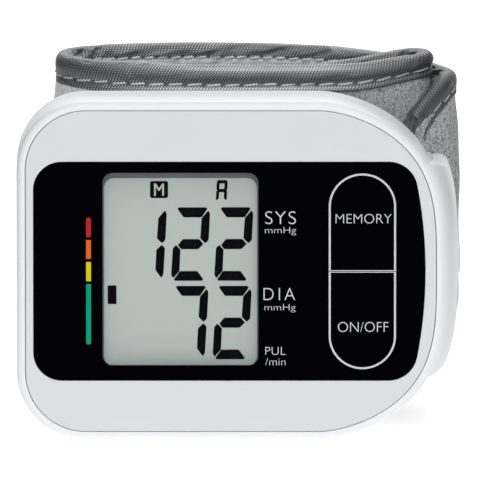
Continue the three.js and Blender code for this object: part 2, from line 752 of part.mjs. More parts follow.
// Heights of the strip's two edges at a place along it, before its end corners are rounded
function cuffEdges(along) {
  const rise = FOLD_RISE * (1 - smooth(Math.abs(along - foldAlong) / FOLD_RUN));
  const taper = FLAP_TAPER * smooth((along - cuffLength + FLAP_TAPER_START) / FLAP_TAPER_RUN);
  const { x } = planCurve.getPointAt(Math.min(Math.max(along / cuffLength, 0), 1));
  const cone = CONE_RISE * smooth((x - CONE_FROM) / CONE_RUN);
  return [bottom + rise + taper + cone, cuffTop + rise - taper];
}

// A point of the strip: its place along the strip, its height and its distance outwards
function cuffPoint(along, height, out) {
  const place = Math.min(Math.max(along / cuffLength, 0), 1);
  const centre = planCurve.getPointAt(place);
  const ahead = planCurve.getTangentAt(place);
  return new THREE.Vector3(centre.x - ahead.y * out, centre.y + ahead.x * out, height);
}

// Places along a stretch of the strip, closer together where it bends
function bentPlaces(from, to) {
  const samples = [];
  let weight = 0;
  let ahead = planCurve.getTangentAt(from / cuffLength);
  for (let i = 1; i <= CUFF_SAMPLES; i += 1) {
    const along = from + (to - from) * (i / CUFF_SAMPLES);
    const next = planCurve.getTangentAt(along / cuffLength);
    weight += (to - from) / CUFF_SAMPLES + CUFF_BEND * ahead.angleTo(next);
    samples.push([along, weight]);
    ahead = next;
  }
  const places = [from];
  for (let i = 1; i < CUFF_STEPS; i += 1) {
    places.push(samples.find((sample) => sample[1] >= (weight * i) / CUFF_STEPS)[0]);
  }
  return [...places, to];
}

// Places along the strip between two margins, closer together in the rounded end corners
function cuffPlaces(startMargin, startCorner, endMargin, endCorner) {
  const from = startMargin + startCorner;
  const to = cuffLength - endMargin - endCorner;
  const places = [];
  for (let i = 0; i < END_STEPS; i += 1) {
    places.push(startMargin + startCorner * (1 - Math.cos((Math.PI / 2) * (i / END_STEPS))));
  }
  places.push(...bentPlaces(from, to));
  for (let i = 1; i <= END_STEPS; i += 1) {
    places.push(to + endCorner * Math.sin((Math.PI / 2) * (i / END_STEPS)));
  }
  return places;
}

// How far a rounded corner draws in an edge at a distance from the end
function cornerDrop(fromEnd, radius) {
  const inCorner = Math.max(radius - fromEnd, 0);
  return radius - Math.sqrt(Math.max(radius * radius - inCorner * inCorner, 0));
}

const coreMargin = BINDING + EDGE_GAP;
const innerCorner = INNER_CORNER - coreMargin;
const flapCorner = FLAP_CORNER - coreMargin;
const layerPlaces = cuffPlaces(coreMargin, innerCorner, coreMargin, flapCorner);

// Section of a layer at a place: between two heights and two distances outwards
function layerRing(along, low, high, inner, outer) {
  return [
    cuffPoint(along, low, inner), cuffPoint(along, low, outer),
    cuffPoint(along, high, outer), cuffPoint(along, high, inner),
  ];
}

// A layer of the whole strip, inside the binding
function cuffLayer(inner, outer) {
  const rings = layerPlaces.map((along) => {
    const [low, high] = cuffEdges(along);
    const drop = coreMargin + cornerDrop(along - coreMargin, innerCorner)
      + cornerDrop(cuffLength - coreMargin - along, flapCorner);
    return layerRing(along, low + drop, high - drop, inner, outer);
  });
  return skin(rings, false);
}

// A hidden layer that covers only the stretch of the strip that is blown up
function cuffCore(inner, outer) {
  const places = layerPlaces.filter((along) => along > CORE_START && along < CORE_END);
  const rings = places.map((along) => {
    const [low, high] = cuffEdges(along);
    return layerRing(along, low + CORE_MARGIN, high - CORE_MARGIN, inner, outer);
  });
  return skin(rings, false);
}

// The strip's edge as a closed loop of places and heights, seen with the strip unrolled
function cuffRim() {
  const places = cuffPlaces(0, INNER_CORNER, 0, FLAP_CORNER);
  const edge = (along, side) => {
    const drop = cornerDrop(along, INNER_CORNER) + cornerDrop(cuffLength - along, FLAP_CORNER);
    const height = cuffEdges(along)[side] + (side === 0 ? drop : -drop);
    return new THREE.Vector2(along, height);
  };
  return [
    ...places.map((along) => edge(along, 0)),
    ...places.toReversed().map((along) => edge(along, 1)),
  ];
}

// Edge binding: a folded band round the whole edge of the strip
function cuffBinding() {
  const rim = cuffRim();
  const half = CUFF_HALF + EDGE_GAP;
  const thick = half + BINDING;
  const middle = BINDING_WIDTH / 2;
  const profile = [
    [BINDING_WIDTH, half], [middle, half], [BINDING, half],
    [BINDING, -half], [middle, -half], [BINDING_WIDTH, -half],
    [BINDING_WIDTH, -thick], [middle, -thick], [BINDING_ROUND, -thick], [0, BINDING_ROUND - thick],
    [0, thick - BINDING_ROUND], [BINDING_ROUND, thick], [middle, thick], [BINDING_WIDTH, thick],
  ];
  const rings = rim.map((point, i) => {
    const along = rim[(i + 1) % rim.length].clone().sub(rim.at(i - 1)).normalize();
    return profile.map(([inwards, out]) =>
      cuffPoint(point.x - along.y * inwards, point.y + along.x * inwards, out));
  });
  return skin(rings, true);
}

const laminateInner = CUFF_HALF - LAMINATE;
const stiffenerOuter = laminateInner - SOLDER;
const stiffenerInner = stiffenerOuter - STIFFENER;
const bladderOuter = stiffenerInner - SOLDER;
const bladderInner = bladderOuter - BLADDER;
const spigotEnd = cuffFront - stiffenerInner;

// The round way of the air spigot through the layers in front of the bladder
function spigotWay() {
  const [x, y] = manifoldAt;
  const radius = SPIGOT_RADIUS + SEAT;
  const length = CUFF_HALF + SEAT + CASE_DEPTH;
  const geometry = new THREE.CylinderGeometry(radius, radius, length, ROUND_SIDES);
  return geometry.translate(x, spigotEnd + SEAT - length / 2, y);
}

function cuffMount() {
  const [width, height] = MOUNT_SIZE;
  const shape = roundedBox(-width / 2, width / 2, -height / 2, height / 2, MOUNT_CORNER);
  return cut(
    slab(shape, CASE_DEPTH + FIT, mountBack),
    post(manifoldAt, SPIGOT_RADIUS + SEAT, CASE_DEPTH, mountBack + OVERCUT),
  );
}

function hookPatch() {
  const outer = -CUFF_HALF - FIT;
  const end = cuffLength - PATCH_MARGIN;
  const [flapLow, flapHigh] = cuffEdges(end);
  const middle = (flapLow + flapHigh) / 2;
  const rings = [];
  for (let i = 0; i <= END_STEPS; i += 1) {
    const along = end - PATCH_LENGTH * (1 - i / END_STEPS);
    const low = middle - PATCH_HALF_HEIGHT;
    const high = middle + PATCH_HALF_HEIGHT;
    rings.push(layerRing(along, low, high, outer - PATCH, outer));
  }
  return skin(rings, false);
}

// Finishes: colour, roughness, metalness
const WHITE_PLASTIC = [0xf0f1f2, 0.28, 0];
const GREY_PLASTIC = [0xdcdee0, 0.42, 0];
const BLACK_GLOSS = [0x07080c, 0.08, 0];
const CLEAR = [0xe6ecea, 0.04, 0];
const LCD_GREY = [0xb2bab4, 0.35, 0];
const DARK_PLASTIC = [0x2a2c30, 0.5, 0];
const BOARD_GREEN = [0x1f5a3a, 0.45, 0];
const STEEL = [0xb8babd, 0.3, 1];
const CELL_WRAP = [0x4a4f58, 0.35, 0.2];
const SILICONE = [0xd8d4c8, 0.6, 0];
const RUBBER = [0x3a3a3c, 0.8, 0];
const LOOP_FABRIC = [0xb4b6b9, 0.95, 0];
const WOVEN_FABRIC = [0x5c5f65, 0.85, 0];

function piece(name, geometry, [color, roughness, metalness]) {
  const mesh = new THREE.Mesh(geometry, new THREE.MeshStandardMaterial({ color, roughness, metalness }));
  mesh.name = name;
  return mesh;
}

// The case group is turned so that its y is up and its depth runs to the back
const caseGroup = new THREE.Group();
caseGroup.rotation.x = Math.PI / 2;
caseGroup.add(
  piece("front_housing", frontHousing(), WHITE_PLASTIC),
  piece("rear_housing", rearHousing(), WHITE_PLASTIC),
  piece("face_plate", facePlate(), GREY_PLASTIC),
  piece("front_panel", frontPanel(), BLACK_GLOSS),
  piece("display_window", displayWindow(), CLEAR),
  piece("lcd_glass", lcdGlass(), LCD_GREY),
  piece("lcd_frame", lcdFrame(), DARK_PLASTIC),
  piece("zebra_strip_top", zebraStrip(1), RUBBER),
  piece("zebra_strip_bottom", zebraStrip(-1), RUBBER),
  piece("memory_button", key(1), BLACK_GLOSS),
  piece("power_button", key(-1), BLACK_GLOSS),
  piece("memory_switch", keySwitch(1), DARK_PLASTIC),
  piece("power_switch", keySwitch(-1), DARK_PLASTIC),
  piece("memory_plunger", plunger(1), DARK_PLASTIC),
  piece("power_plunger", plunger(-1), DARK_PLASTIC),
  piece("main_board", mainBoard(), BOARD_GREEN),
  piece("controller_chip", controllerChip(), DARK_PLASTIC),
  piece("pressure_sensor", pressureSensor(), DARK_PLASTIC),
  piece("buzzer", buzzer(), DARK_PLASTIC),
  piece("battery_1", cell(1, -1), CELL_WRAP),
  piece("battery_2", cell(-1, 1), CELL_WRAP),
  piece("contact_plus", endContact(1), STEEL),
  piece("contact_minus", endContact(-1), STEEL),
  piece("contact_bridge", bridgeContact(), STEEL),
  piece("battery_cover", batteryCover(), WHITE_PLASTIC),
  piece("pump_motor", pumpMotor(), STEEL),
  piece("pump_head", pumpHead(), DARK_PLASTIC),
  piece("exhaust_valve", exhaustValve(), STEEL),
  piece("air_manifold", airManifold(), DARK_PLASTIC),
  piece("pump_tube", pumpTube(), SILICONE),
  piece("valve_tube", valveTube(), SILICONE),
  piece("sensor_tube", sensorTube(), SILICONE),
  piece("cuff_mount", cuffMount(), DARK_PLASTIC),
);
bossPlaces().forEach((at, i) => {
  caseGroup.add(piece(`case_screw_${i + 1}`, screw(at, screwHeadFront + SEAT, caseScrewReach), STEEL));
});
boardPosts().forEach((at, i) => {
  caseGroup.add(piece(`board_screw_${i + 1}`, screw(at, soldered, boardScrewReach), STEEL));
});

// The cuff group is already upright
const cuffGroup = new THREE.Group();
cuffGroup.add(
  piece("cuff_laminate", cut(cuffLayer(laminateInner, CUFF_HALF), spigotWay()), LOOP_FABRIC),
  piece("cuff_stiffener", cut(cuffCore(stiffenerInner, stiffenerOuter), spigotWay()), DARK_PLASTIC),
  piece("cuff_bladder", cuffCore(bladderInner, bladderOuter), RUBBER),
  piece("cuff_lining", cuffLayer(-CUFF_HALF, LINING - CUFF_HALF), WOVEN_FABRIC),
  piece("cuff_binding", cuffBinding(), WOVEN_FABRIC),
  piece("hook_patch", hookPatch(), DARK_PLASTIC),
);

const monitor = new THREE.Group();
monitor.add(caseGroup, cuffGroup);
const bounds = new THREE.Box3().setFromObject(monitor);
const middle = bounds.getCenter(new THREE.Vector3());
monitor.position.set(-middle.x, -middle.y, -bounds.min.z);

export default monitor;
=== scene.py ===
"""A wrist blood pressure monitor: white moulded case, black display panel, padded cuff rolled behind it."""
import math

import bmesh
import bpy
import numpy as np
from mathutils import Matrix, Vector
from mathutils.geometry import tessellate_polygon


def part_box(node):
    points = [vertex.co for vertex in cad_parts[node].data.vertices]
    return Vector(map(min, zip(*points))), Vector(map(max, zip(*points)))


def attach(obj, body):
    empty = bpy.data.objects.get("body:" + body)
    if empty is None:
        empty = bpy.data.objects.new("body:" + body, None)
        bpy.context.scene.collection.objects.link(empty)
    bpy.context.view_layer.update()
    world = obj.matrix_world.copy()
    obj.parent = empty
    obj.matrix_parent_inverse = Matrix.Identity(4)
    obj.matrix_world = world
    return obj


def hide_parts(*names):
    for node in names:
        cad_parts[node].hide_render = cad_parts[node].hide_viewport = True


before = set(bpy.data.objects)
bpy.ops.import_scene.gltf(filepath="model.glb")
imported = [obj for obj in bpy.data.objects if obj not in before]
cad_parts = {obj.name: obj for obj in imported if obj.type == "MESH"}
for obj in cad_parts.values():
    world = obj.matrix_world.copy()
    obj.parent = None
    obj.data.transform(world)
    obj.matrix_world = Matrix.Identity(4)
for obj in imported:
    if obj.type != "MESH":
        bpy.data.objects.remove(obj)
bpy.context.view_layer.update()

# Front housing: the white front half of the case, with a rounded rim round the face, a ledge that
# carries the face plate and a side wall down to the parting line. It is injection-moulded in glossy
# ABS and drawn to the rear half by four screws from behind.
SPLIT = 11.0
RIM = 1.6
LIP = 0.25
WALL = 1.8
INSIDE = 2.5
LEDGE = 2.5

# Middle of the face: half the case's width and height from its lower left corner, in metres
FACE_MIDDLE = np.array(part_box("front_housing")[0]) + (0.0406, 0.0, 0.0325)


def place(x, y, depth):
    """Metres of a point of the case given in mm: x right of the face's middle, y up, depth backwards."""
    return FACE_MIDDLE + np.stack(np.broadcast_arrays(x, depth, y), -1) * 0.001


def spaced(points, count):
    """A closed line of points, walked at even steps of its own length."""
    loop = np.vstack([points, points[:1]])
    way = np.concatenate([[0], np.cumsum(np.linalg.norm(np.diff(loop, axis=0), axis=1))])
    steps = np.linspace(0, way[-1], count, endpoint=False)
    return np.stack([np.interp(steps, way, loop[:, k]) for k in range(2)], -1)


def outwards(loop):
    """Unit normals of a closed line that turns left: the chord of both neighbours, turned right."""
    chord = np.roll(loop, -1, 0) - np.roll(loop, 1, 0)
    normal = np.stack([chord[:, 1], -chord[:, 0]], -1)
    return normal / np.linalg.norm(normal, axis=1, keepdims=True)


def arc(x, y, radius, start, end, count=60):
    """Points at x + radius cos t, y + radius sin t, for t from start to end in degrees."""
    t = np.radians(np.linspace(start, end, count))
    return np.stack([x + radius * np.cos(t), y + radius * np.sin(t)], -1)


def seam_line(count=640):
    """Seam of the face: quarter rounds of 11.5 on the left, and on the right
    x = 17 + 22 cos(t)^(2/1.6), y = 30.9 |sin t|^(2/3.45), with the straight top and bottom between them."""
    t = np.linspace(-np.pi / 2, np.pi / 2, 2401)
    bulge = np.stack([17 + 22 * np.cos(t).clip(0) ** 1.25,
                      30.9 * np.sign(t) * np.abs(np.sin(t)) ** (2 / 3.45)], -1)
    return spaced(np.vstack([bulge, arc(-27.5, 19.4, 11.5, 90, 180), arc(-27.5, -19.4, 11.5, 180, 270)]), count)


SEAM = seam_line()
SEAM_OUT = outwards(SEAM)


def turned(x, y, radius, start, end, count=7):
    """A rounded edge of a profile as (offset, depth) pairs."""
    return [tuple(p) for p in arc(x, y, radius, start, end, count)]


def carried(profile, loop=SEAM, normals=SEAM_OUT):
    """A profile of (offset, depth) carried along a closed line: a point is line + normal * offset, at its depth."""
    offset, depth = np.array(profile, float).T
    x = loop[:, :1] + normals[:, :1] * offset
    y = loop[:, 1:] + normals[:, 1:] * offset
    return place(x, y, depth[None])


def solid(name, points, faces, uv=None, sharp=38.0):
    """A mesh at the origin: meeting points merged, faces turned outwards, edges over sharp degrees kept crisp."""
    mesh = bpy.data.meshes.new(name)
    mesh.from_pydata(np.asarray(points, float).tolist(), [], [list(f) for f in faces])
    if uv is not None:
        mesh.uv_layers.new(name="cloth").data.foreach_set("uv", np.asarray(uv, np.float32).ravel())
    shape = bmesh.new()
    shape.from_mesh(mesh)
    bmesh.ops.remove_doubles(shape, verts=shape.verts, dist=2e-7)
    bmesh.ops.dissolve_degenerate(shape, edges=shape.edges, dist=1e-8)
    bmesh.ops.recalc_face_normals(shape, faces=shape.faces)
    shape.to_mesh(mesh)
    shape.free()
    mesh.shade_smooth()
    mesh.set_sharp_from_angle(angle=math.radians(sharp))
    piece = bpy.data.objects.new(name, mesh)
    bpy.context.scene.collection.objects.link(piece)
    return piece


def net(rows, cols, wrap):
    """Corner numbers of the quads of a grid, closed along its rows or columns where wrap says so."""
    index = np.arange(rows * cols).reshape(rows, cols)
    index = np.vstack([index, index[:1]]) if wrap[0] else index
    index = np.hstack([index, index[:, :1]]) if wrap[1] else index
    return np.stack([index[:-1, :-1], index[1:, :-1], index[1:, 1:], index[:-1, 1:]], -1).reshape(-1, 4)


def skin(name, grid, wrap=(True, True), uv=None, sharp=38.0):
    """The surface over a grid of points; uv has one pair for each point of the grid and of its closing rows."""
    rows, cols = grid.shape[:2]
    if uv is not None:
        corner = net(rows + wrap[0], cols + wrap[1], (False, False))
        uv = uv.reshape(-1, 2)[corner]
    return solid(name, grid.reshape(-1, 3), net(rows, cols, wrap), uv, sharp)


def box(x, y, depth):
    """The eight corners and six faces of a block between pairs of x, y and depth."""
    corner = np.array(np.meshgrid(x, y, depth, indexing="ij")).reshape(3, -1)
    faces = [(0, 1, 3, 2), (4, 6, 7, 5), (0, 4, 5, 1), (2, 3, 7, 6), (0, 2, 6, 4), (1, 5, 7, 3)]
    return place(*corner), faces


def carve(piece, *tools, way="DIFFERENCE"):
    """Cuts tools out of a piece, or joins them on, and puts the result in its mesh; the tools are removed."""
    for tool in tools:
        step = piece.modifiers.new("carve", "BOOLEAN")
        step.operation = way
        step.solver = "EXACT"
        step.object = tool
    held = bpy.context.evaluated_depsgraph_get()
    done = bpy.data.meshes.new_from_object(piece.evaluated_get(held))
    piece.modifiers.clear()
    piece.data = done
    for tool in tools:
        bpy.data.objects.remove(tool)
    done.shade_smooth()
    done.set_sharp_from_angle(angle=math.radians(38))
    return piece


class Wire:
    """One output of a material's nodes. Sums, products and powers with numbers or wires add Math nodes."""

    def __init__(self, tree, socket):
        self.tree = tree
        self.socket = socket

    def node(self, kind, settings=(), sockets=(), out=0):
        """Adds a node of a kind: its settings first, where a ramp's stops are pairs of place and grey, and then
        the values or links of its sockets."""
        made = self.tree.nodes.new(kind)
        for name, value in dict(settings).items():
            if name == "stops":
                made.color_ramp.interpolation = "B_SPLINE"
                for _ in value[2:]:
                    made.color_ramp.elements.new(1.0)
                for stop, (at, grey) in zip(made.color_ramp.elements, value):
                    stop.position, stop.color = at, (grey, grey, grey, 1)
            else:
                setattr(made, name, value)
        for name, value in dict(sockets).items():
            if isinstance(value, Wire):
                self.tree.links.new(value.socket, made.inputs[name])
            else:
                made.inputs[name].default_value = value
        return Wire(self.tree, made.outputs[out] if made.outputs else None)

    def math(self, operation, *values):
        """A Math node over values or wires."""
        return self.node("ShaderNodeMath", {"operation": operation}, dict(enumerate(values)))

    def __add__(self, other): return self.math("ADD", self, other)
    def __radd__(self, other): return self.math("ADD", other, self)
    def __sub__(self, other): return self.math("SUBTRACT", self, other)
    def __rsub__(self, other): return self.math("SUBTRACT", other, self)
    def __mul__(self, other): return self.math("MULTIPLY", self, other)
    def __rmul__(self, other): return self.math("MULTIPLY", other, self)
    def __pow__(self, other): return self.math("POWER", self, other)

    def noise(self, scale, detail=3.0, rough=0.5):
        """Soft noise from 0 to 1 over these coordinates, scale grains to the unit."""
        sockets = {"Vector": self, "Scale": scale, "Detail": detail, "Roughness": rough}
        return self.node("ShaderNodeTexNoise", {}, sockets)

    def stretched(self, x, y, z):
        """These coordinates, each direction times its own factor."""
        return self.node("ShaderNodeMapping", {}, {"Vector": self, "Scale": (x, y, z)})

    def between(self, low, high):
        """This value spread from low..high to 0..1, cut off at both ends."""
        sockets = {"Value": self, "From Min": low, "From Max": high}
        return self.node("ShaderNodeMapRange", {"clamp": True}, sockets)

    def size(self):
        """This value without its sign."""
        return self.math("ABSOLUTE", self)

    def sine(self):
        """Sine of this value, in radians."""
        return self.math("SINE", self)

    def axis(self, number):
        """One of these coordinates, counted from 0."""
        return self.node("ShaderNodeSeparateXYZ", {}, {"Vector": self}, out=number)

    def sideways(self):
        """How far a point of the piece lies to the right of the object's middle, in metres."""
        return self.node("ShaderNodeTexCoord", out=3).axis(0)

    def tint(self, dark, light):
        """A colour between dark, where this is 0, and light, where it is 1; a colour may be a wire."""
        colours = {0: self, 6: dark if isinstance(dark, Wire) else (*dark, 1),
                   7: light if isinstance(light, Wire) else (*light, 1)}
        return self.node("ShaderNodeMix", {"data_type": "RGBA"}, colours, out=2)


def finish(name, source="Object"):
    """A new material and the wire of its Object or UV coordinates."""
    made = bpy.data.materials.new(name)
    made.use_nodes = True
    made.node_tree.nodes.clear()
    start = Wire(made.node_tree, None)
    return made, start.node("ShaderNodeTexCoord", out=3 if source == "Object" else 2)


def surface(made, at, sockets, height=None, relief=1e-5):
    """Gives a material its Principled shader; height, in units of relief metres, becomes its bump."""
    sockets = dict(sockets)
    if height is not None:
        bump = {"Height": height, "Distance": relief, "Strength": 1.0}
        sockets["Normal"] = at.node("ShaderNodeBump", {}, bump)
    shader = at.node("ShaderNodeBsdfPrincipled", {}, sockets)
    at.node("ShaderNodeOutputMaterial", {}, {"Surface": shader})
    return made


def dress(piece, made, body, slot, *nodes):
    """Lays a material on a piece, fixes it to a body and hides the solids of the frame that it stands for; slot is
    not used.
    """
    piece.data.materials.clear()
    piece.data.materials.append(made)
    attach(piece, body)
    if nodes:
        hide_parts(*nodes)
    return piece


white_abs, at = finish("white_abs")
flow = at.noise(45, 2)
orange_peel = at.noise(2600, 2)
surface(white_abs, at, {
    "Base Color": flow.tint((0.80, 0.81, 0.825), (0.845, 0.85, 0.86)),
    "Roughness": 0.3 + at.noise(420, 4) * 0.1,
    "Specular IOR Level": 0.35,
}, orange_peel, 1e-6)

rim_profile = [
    (0.0, INSIDE), (0.0, 0.12), (0.04, 0.03), (0.12, 0.0), (LIP, 0.0),
    *turned(LIP, RIM - LIP, RIM - LIP, -90, 0, 14)[1:],
    (RIM, 5.0), (RIM, SPLIT - 0.2), (RIM - 0.06, SPLIT - 0.05), (RIM - 0.2, SPLIT),
    (RIM - WALL, SPLIT), (RIM - WALL, INSIDE + WALL), (-LEDGE, INSIDE + WALL), (-LEDGE, INSIDE),
]
front_shell = skin("front_shell", carried(rim_profile))
BAY_X = (-6.4, 41.6)
BAY_Y = (-11.15, 11.15)
BAY_DEPTH = (9.3, 20.4)
carve(front_shell, solid("bay_tool", *box(BAY_X, BAY_Y, BAY_DEPTH)))
dress(front_shell, white_abs, "monitor", "white_shell", "front_housing")

# Rear housing: the white back half, a shallow bowl from the parting line to a flat back that carries
# the cuff, with a square shoulder on the right where the battery cover sits and the bay of the two
# cells behind it. Moulded in the same ABS, with four sunk screw holes.
BACK = 22.0
SHOULDER_HALF = 18.9


def bowl(wall, back, rows=26):
    """Rings of the bowl: depth = front + (back - front) sin(w pi/2), offset = 1.6 - wall - 9.1 w^2.2 for w from
    0 to 1, where the drop fades out on the shoulder, and last the ring drawn together to its middle."""
    way = np.linspace(0, 1, rows)[None]
    on_right = (SEAM[:, 0] > 17)[:, None]
    edge = ((SHOULDER_HALF + 0.25 - np.abs(SEAM[:, 1:])) / 0.5).clip(0, 1)
    drop = 9.1 * way ** 2.2 * (1 - on_right * edge * edge * (3 - 2 * edge))
    offset = RIM - wall - drop
    front = SPLIT + 0.2
    depth = np.broadcast_to(front + (back - front) * np.sin(way * np.pi / 2), offset.shape)
    x = SEAM[:, :1] + SEAM_OUT[:, :1] * offset
    y = SEAM[:, 1:] + SEAM_OUT[:, 1:] * offset
    shrink = np.linspace(1, 0, 6)[None, 1:]
    x = np.hstack([x, x[:, -1:] * shrink])
    y = np.hstack([y, y[:, -1:] * shrink])
    return place(x, y, np.hstack([depth, np.full((len(x), 5), back)]))


def rod(name, x, y, radius, front, back, sides=40):
    """A round post along the depth: a circle carried from front to back, closed by its middle at both ends."""
    ring = arc(x, y, radius, 0, 360, sides + 1)[:-1]
    middle = np.array([[x, y]])
    grid = np.stack([place(*p.T, d) for p, d in
                     ((middle + 0 * ring, front), (ring, front), (ring, back), (middle + 0 * ring, back))], 1)
    return skin(name, grid, (True, False))


rear_shell = skin("rear_shell", np.hstack([bowl(WALL, BACK - 1.6)[:, ::-1], bowl(0.0, BACK)]), (True, False))
carve(rear_shell, solid("tray", *box((-7.6, 38.2), (-12.35, 12.35), (8.1, 21.2))),
      solid("tray_mouth", *box((30.0, 39.6), (-12.35, 12.35), (11.2, 21.2))), way="UNION")


def middle_of(node):
    """Middle of a solid of the frame as x, y and depth of the case, in mm."""
    x, depth, y = (np.mean(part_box(node), axis=0) - FACE_MIDDLE) * 1000
    return x, y, depth


screw_middles = [middle_of(f"case_screw_{k}") for k in range(1, 5)]
screw_holes = [rod(f"screw_hole_{k}", x, y, 2.2, 14.2, 24) for k, (x, y, _) in enumerate(screw_middles)]
carve(rear_shell, solid("bay_tool", *box(BAY_X, BAY_Y, BAY_DEPTH)),
      rod("air_hole", -14, 1, 2.2, 19, 24), *screw_holes)
dress(rear_shell, white_abs, "monitor", "white_shell", "rear_housing")

# Face plate: a flat light grey plate that lies on the ledge inside the rim, with a sunk bed for the
# black panel and openings for the display and the keys. Moulded in ABS with a fine satin texture.


def plate(name, loops, front, back, edge, steps=4):
    """A flat piece with a rounded front edge. Each loop is walked with the material on its left, the outline
    first and then its openings: rings at inset edge (1 - sin t) and depth front + edge (1 - cos t) for t up to
    a right angle run on straight to the back, and both faces are filled between the loops."""
    t = np.linspace(0, np.pi / 2, steps + 1)
    inset = np.append(edge * (1 - np.sin(t)), 0.0)
    depth = np.append(front + edge * (1 - np.cos(t)), back)
    points, faces, rings = [], [], [[], []]
    for loop in loops:
        grid = carried(np.stack([-inset, depth], -1), loop, outwards(loop))
        first = sum(map(len, points))
        points.append(grid.reshape(-1, 3))
        faces.extend(net(*grid.shape[:2], (True, False)) + first)
        number = first + np.arange(grid.shape[0] * grid.shape[1]).reshape(grid.shape[:2])
        rings[0].append(number[:, 0])
        rings[1].append(number[:, -1])
    points = np.vstack(points)
    for ring in rings:
        flat = [[Vector((*points[k, ::2] * 1000, 0)) for k in loop] for loop in ring]
        number = np.concatenate(ring)
        faces.extend(number[list(corner)] for corner in tessellate_polygon(flat))
    piece = solid(name, points, faces)
    even = piece.modifiers.new("even", "WEIGHTED_NORMAL")
    even.keep_sharp = True
    even.weight = 100
    return piece


def joined(name, *pieces):
    """Several pieces as one mesh."""
    whole = bmesh.new()
    for piece in pieces:
        whole.from_mesh(piece.data)
    mesh = bpy.data.meshes.new(name)
    whole.to_mesh(mesh)
    whole.free()
    keep = pieces[0]
    keep.name, keep.data = name, mesh
    for piece in pieces[1:]:
        bpy.data.objects.remove(piece)
    return keep


def panel_line(offset, count=460):
    """Outline of the panel: a wide arc on the right, run into rounded corners, and straight sides elsewhere."""
    half, corner, left = 21 + offset, 5.5 + offset, 5.4 + offset
    wide, middle = 88 + offset, 36.8 - 88
    turn = math.degrees(math.asin((half - corner) / (wide - corner)))
    x = middle + (wide - corner) * math.cos(math.radians(turn))
    inner = -37.4 - offset + left
    return spaced(np.vstack([
        arc(middle, 0, wide, -turn, turn), arc(x, half - corner, corner, turn, 90),
        arc(inner, half - left, left, 90, 180), arc(inner, left - half, left, 180, 270),
        arc(x, corner - half, corner, 270, 360 - turn)]), count)


def rounded(left, right, low, high, radius, count=420):
    """A rectangle with round corners, walked to the left."""
    inner_left, inner_right, inner_low, inner_high = left + radius, right - radius, low + radius, high - radius
    return spaced(np.vstack([
        arc(inner_right, inner_high, radius, 0, 90), arc(inner_left, inner_high, radius, 90, 180),
        arc(inner_left, inner_low, radius, 180, 270), arc(inner_right, inner_low, radius, 270, 360)]), count)


def window_line(offset):
    """Outline of the display opening."""
    return rounded(-24.3 - offset, 5.2 + offset, -18.2 - offset, 18.9 + offset, 1.9 + offset)


KEY_X, KEY_HALF, KEY_HIGH = 24.9, 6.45, 18.9


def pill_line(offset):
    """Outline of the opening that both keys share."""
    half, high = KEY_HALF + offset, KEY_HIGH + offset
    return rounded(KEY_X - half, KEY_X + half, -high, high, half)


grey_satin, at = finish("grey_satin")
grain = at.noise(5200, 2)
surface(grey_satin, at, {
    "Base Color": (at.noise(60, 3) * 0.6 + grain * 0.4).tint((0.655, 0.665, 0.68), (0.705, 0.712, 0.725)),
    "Roughness": 0.4 + at.noise(900, 3) * 0.14,
    "Specular IOR Level": 0.4,
}, grain, 7e-6)
face = joined(
    "face_frame",
    plate("face_front", [SEAM - SEAM_OUT * 0.12, panel_line(0.06)[::-1]], 0.02, 2.2, 0.1),
    plate("panel_bed", [panel_line(0.3), window_line(0.25)[::-1], pill_line(0.2)[::-1]], 1.2, 2.2, 0.02))
dress(face, grey_satin, "monitor", "grey_face", "face_plate")

# Black panel: a glossy acrylic cover glued into its bed, back-printed black round the clear display
# opening, with the scale of four colours and the unit words printed on its face in matt ink.
black_gloss, at = finish("black_gloss")
smear = at.noise(70, 5, 0.6)
surface(black_gloss, at, {
    "Base Color": at.noise(800, 2).tint((0.0003, 0.0003, 0.0009), (0.0006, 0.0006, 0.0016)),
    "Roughness": 0.1 + smear * 0.08,
    "Specular IOR Level": 0.006,
}, at.noise(140, 2), 3e-6)
panel = plate("black_panel", [panel_line(0.0), window_line(0.0)[::-1], pill_line(0.0)[::-1]], 0.0, 1.0, 0.14)
dress(panel, black_gloss, "monitor", "black_panel", "front_panel")


def ink(name, dark, light):
    """A screen-printed ink: a tint that thins out in fine specks, with a dry matt surface."""
    made, at = finish(name)
    cover = at.noise(7000, 3).between(0.25, 0.7)
    return surface(made, at, {"Base Color": cover.tint(dark, light), "Roughness": 0.55 + cover * 0.15,
                              "Specular IOR Level": 0.1}, cover, 3e-6)


def words(name, lines, front, thick=0.03, weight=-0.016):
    """Letters of the plain built-in type, each line (text, letter gap, left, right, low, high) stretched to its
    box: every letter point keeps its share of the line's own box, and the letters' depth runs over thick. The
    strokes are made fuller or finer by weight."""
    whole = bmesh.new()
    for text, gap, left, right, low, high in lines:
        curve = bpy.data.curves.new(name, "FONT")
        curve.body, curve.space_character, curve.extrude, curve.offset = text, gap, 0.5, weight
        letters = bpy.data.objects.new(name, curve)
        bpy.context.scene.collection.objects.link(letters)
        held = bpy.context.evaluated_depsgraph_get()
        mesh = bpy.data.meshes.new_from_object(letters.evaluated_get(held))
        co = np.empty(len(mesh.vertices) * 3)
        mesh.vertices.foreach_get("co", co)
        co = co.reshape(-1, 3)
        across, up, deep = ((co - co.min(0)) / np.ptp(co, axis=0)).T
        flat = place(left + (right - left) * across, low + (high - low) * up, front - thick * deep)
        mesh.vertices.foreach_set("co", flat.ravel())
        whole.from_mesh(mesh)
        bpy.data.objects.remove(letters)
        bpy.data.meshes.remove(mesh)
    bmesh.ops.remove_doubles(whole, verts=whole.verts, dist=1e-8)
    bmesh.ops.recalc_face_normals(whole, faces=whole.faces)
    mesh = bpy.data.meshes.new(name)
    whole.to_mesh(mesh)
    whole.free()
    piece = bpy.data.objects.new(name, mesh)
    bpy.context.scene.collection.objects.link(piece)
    return piece


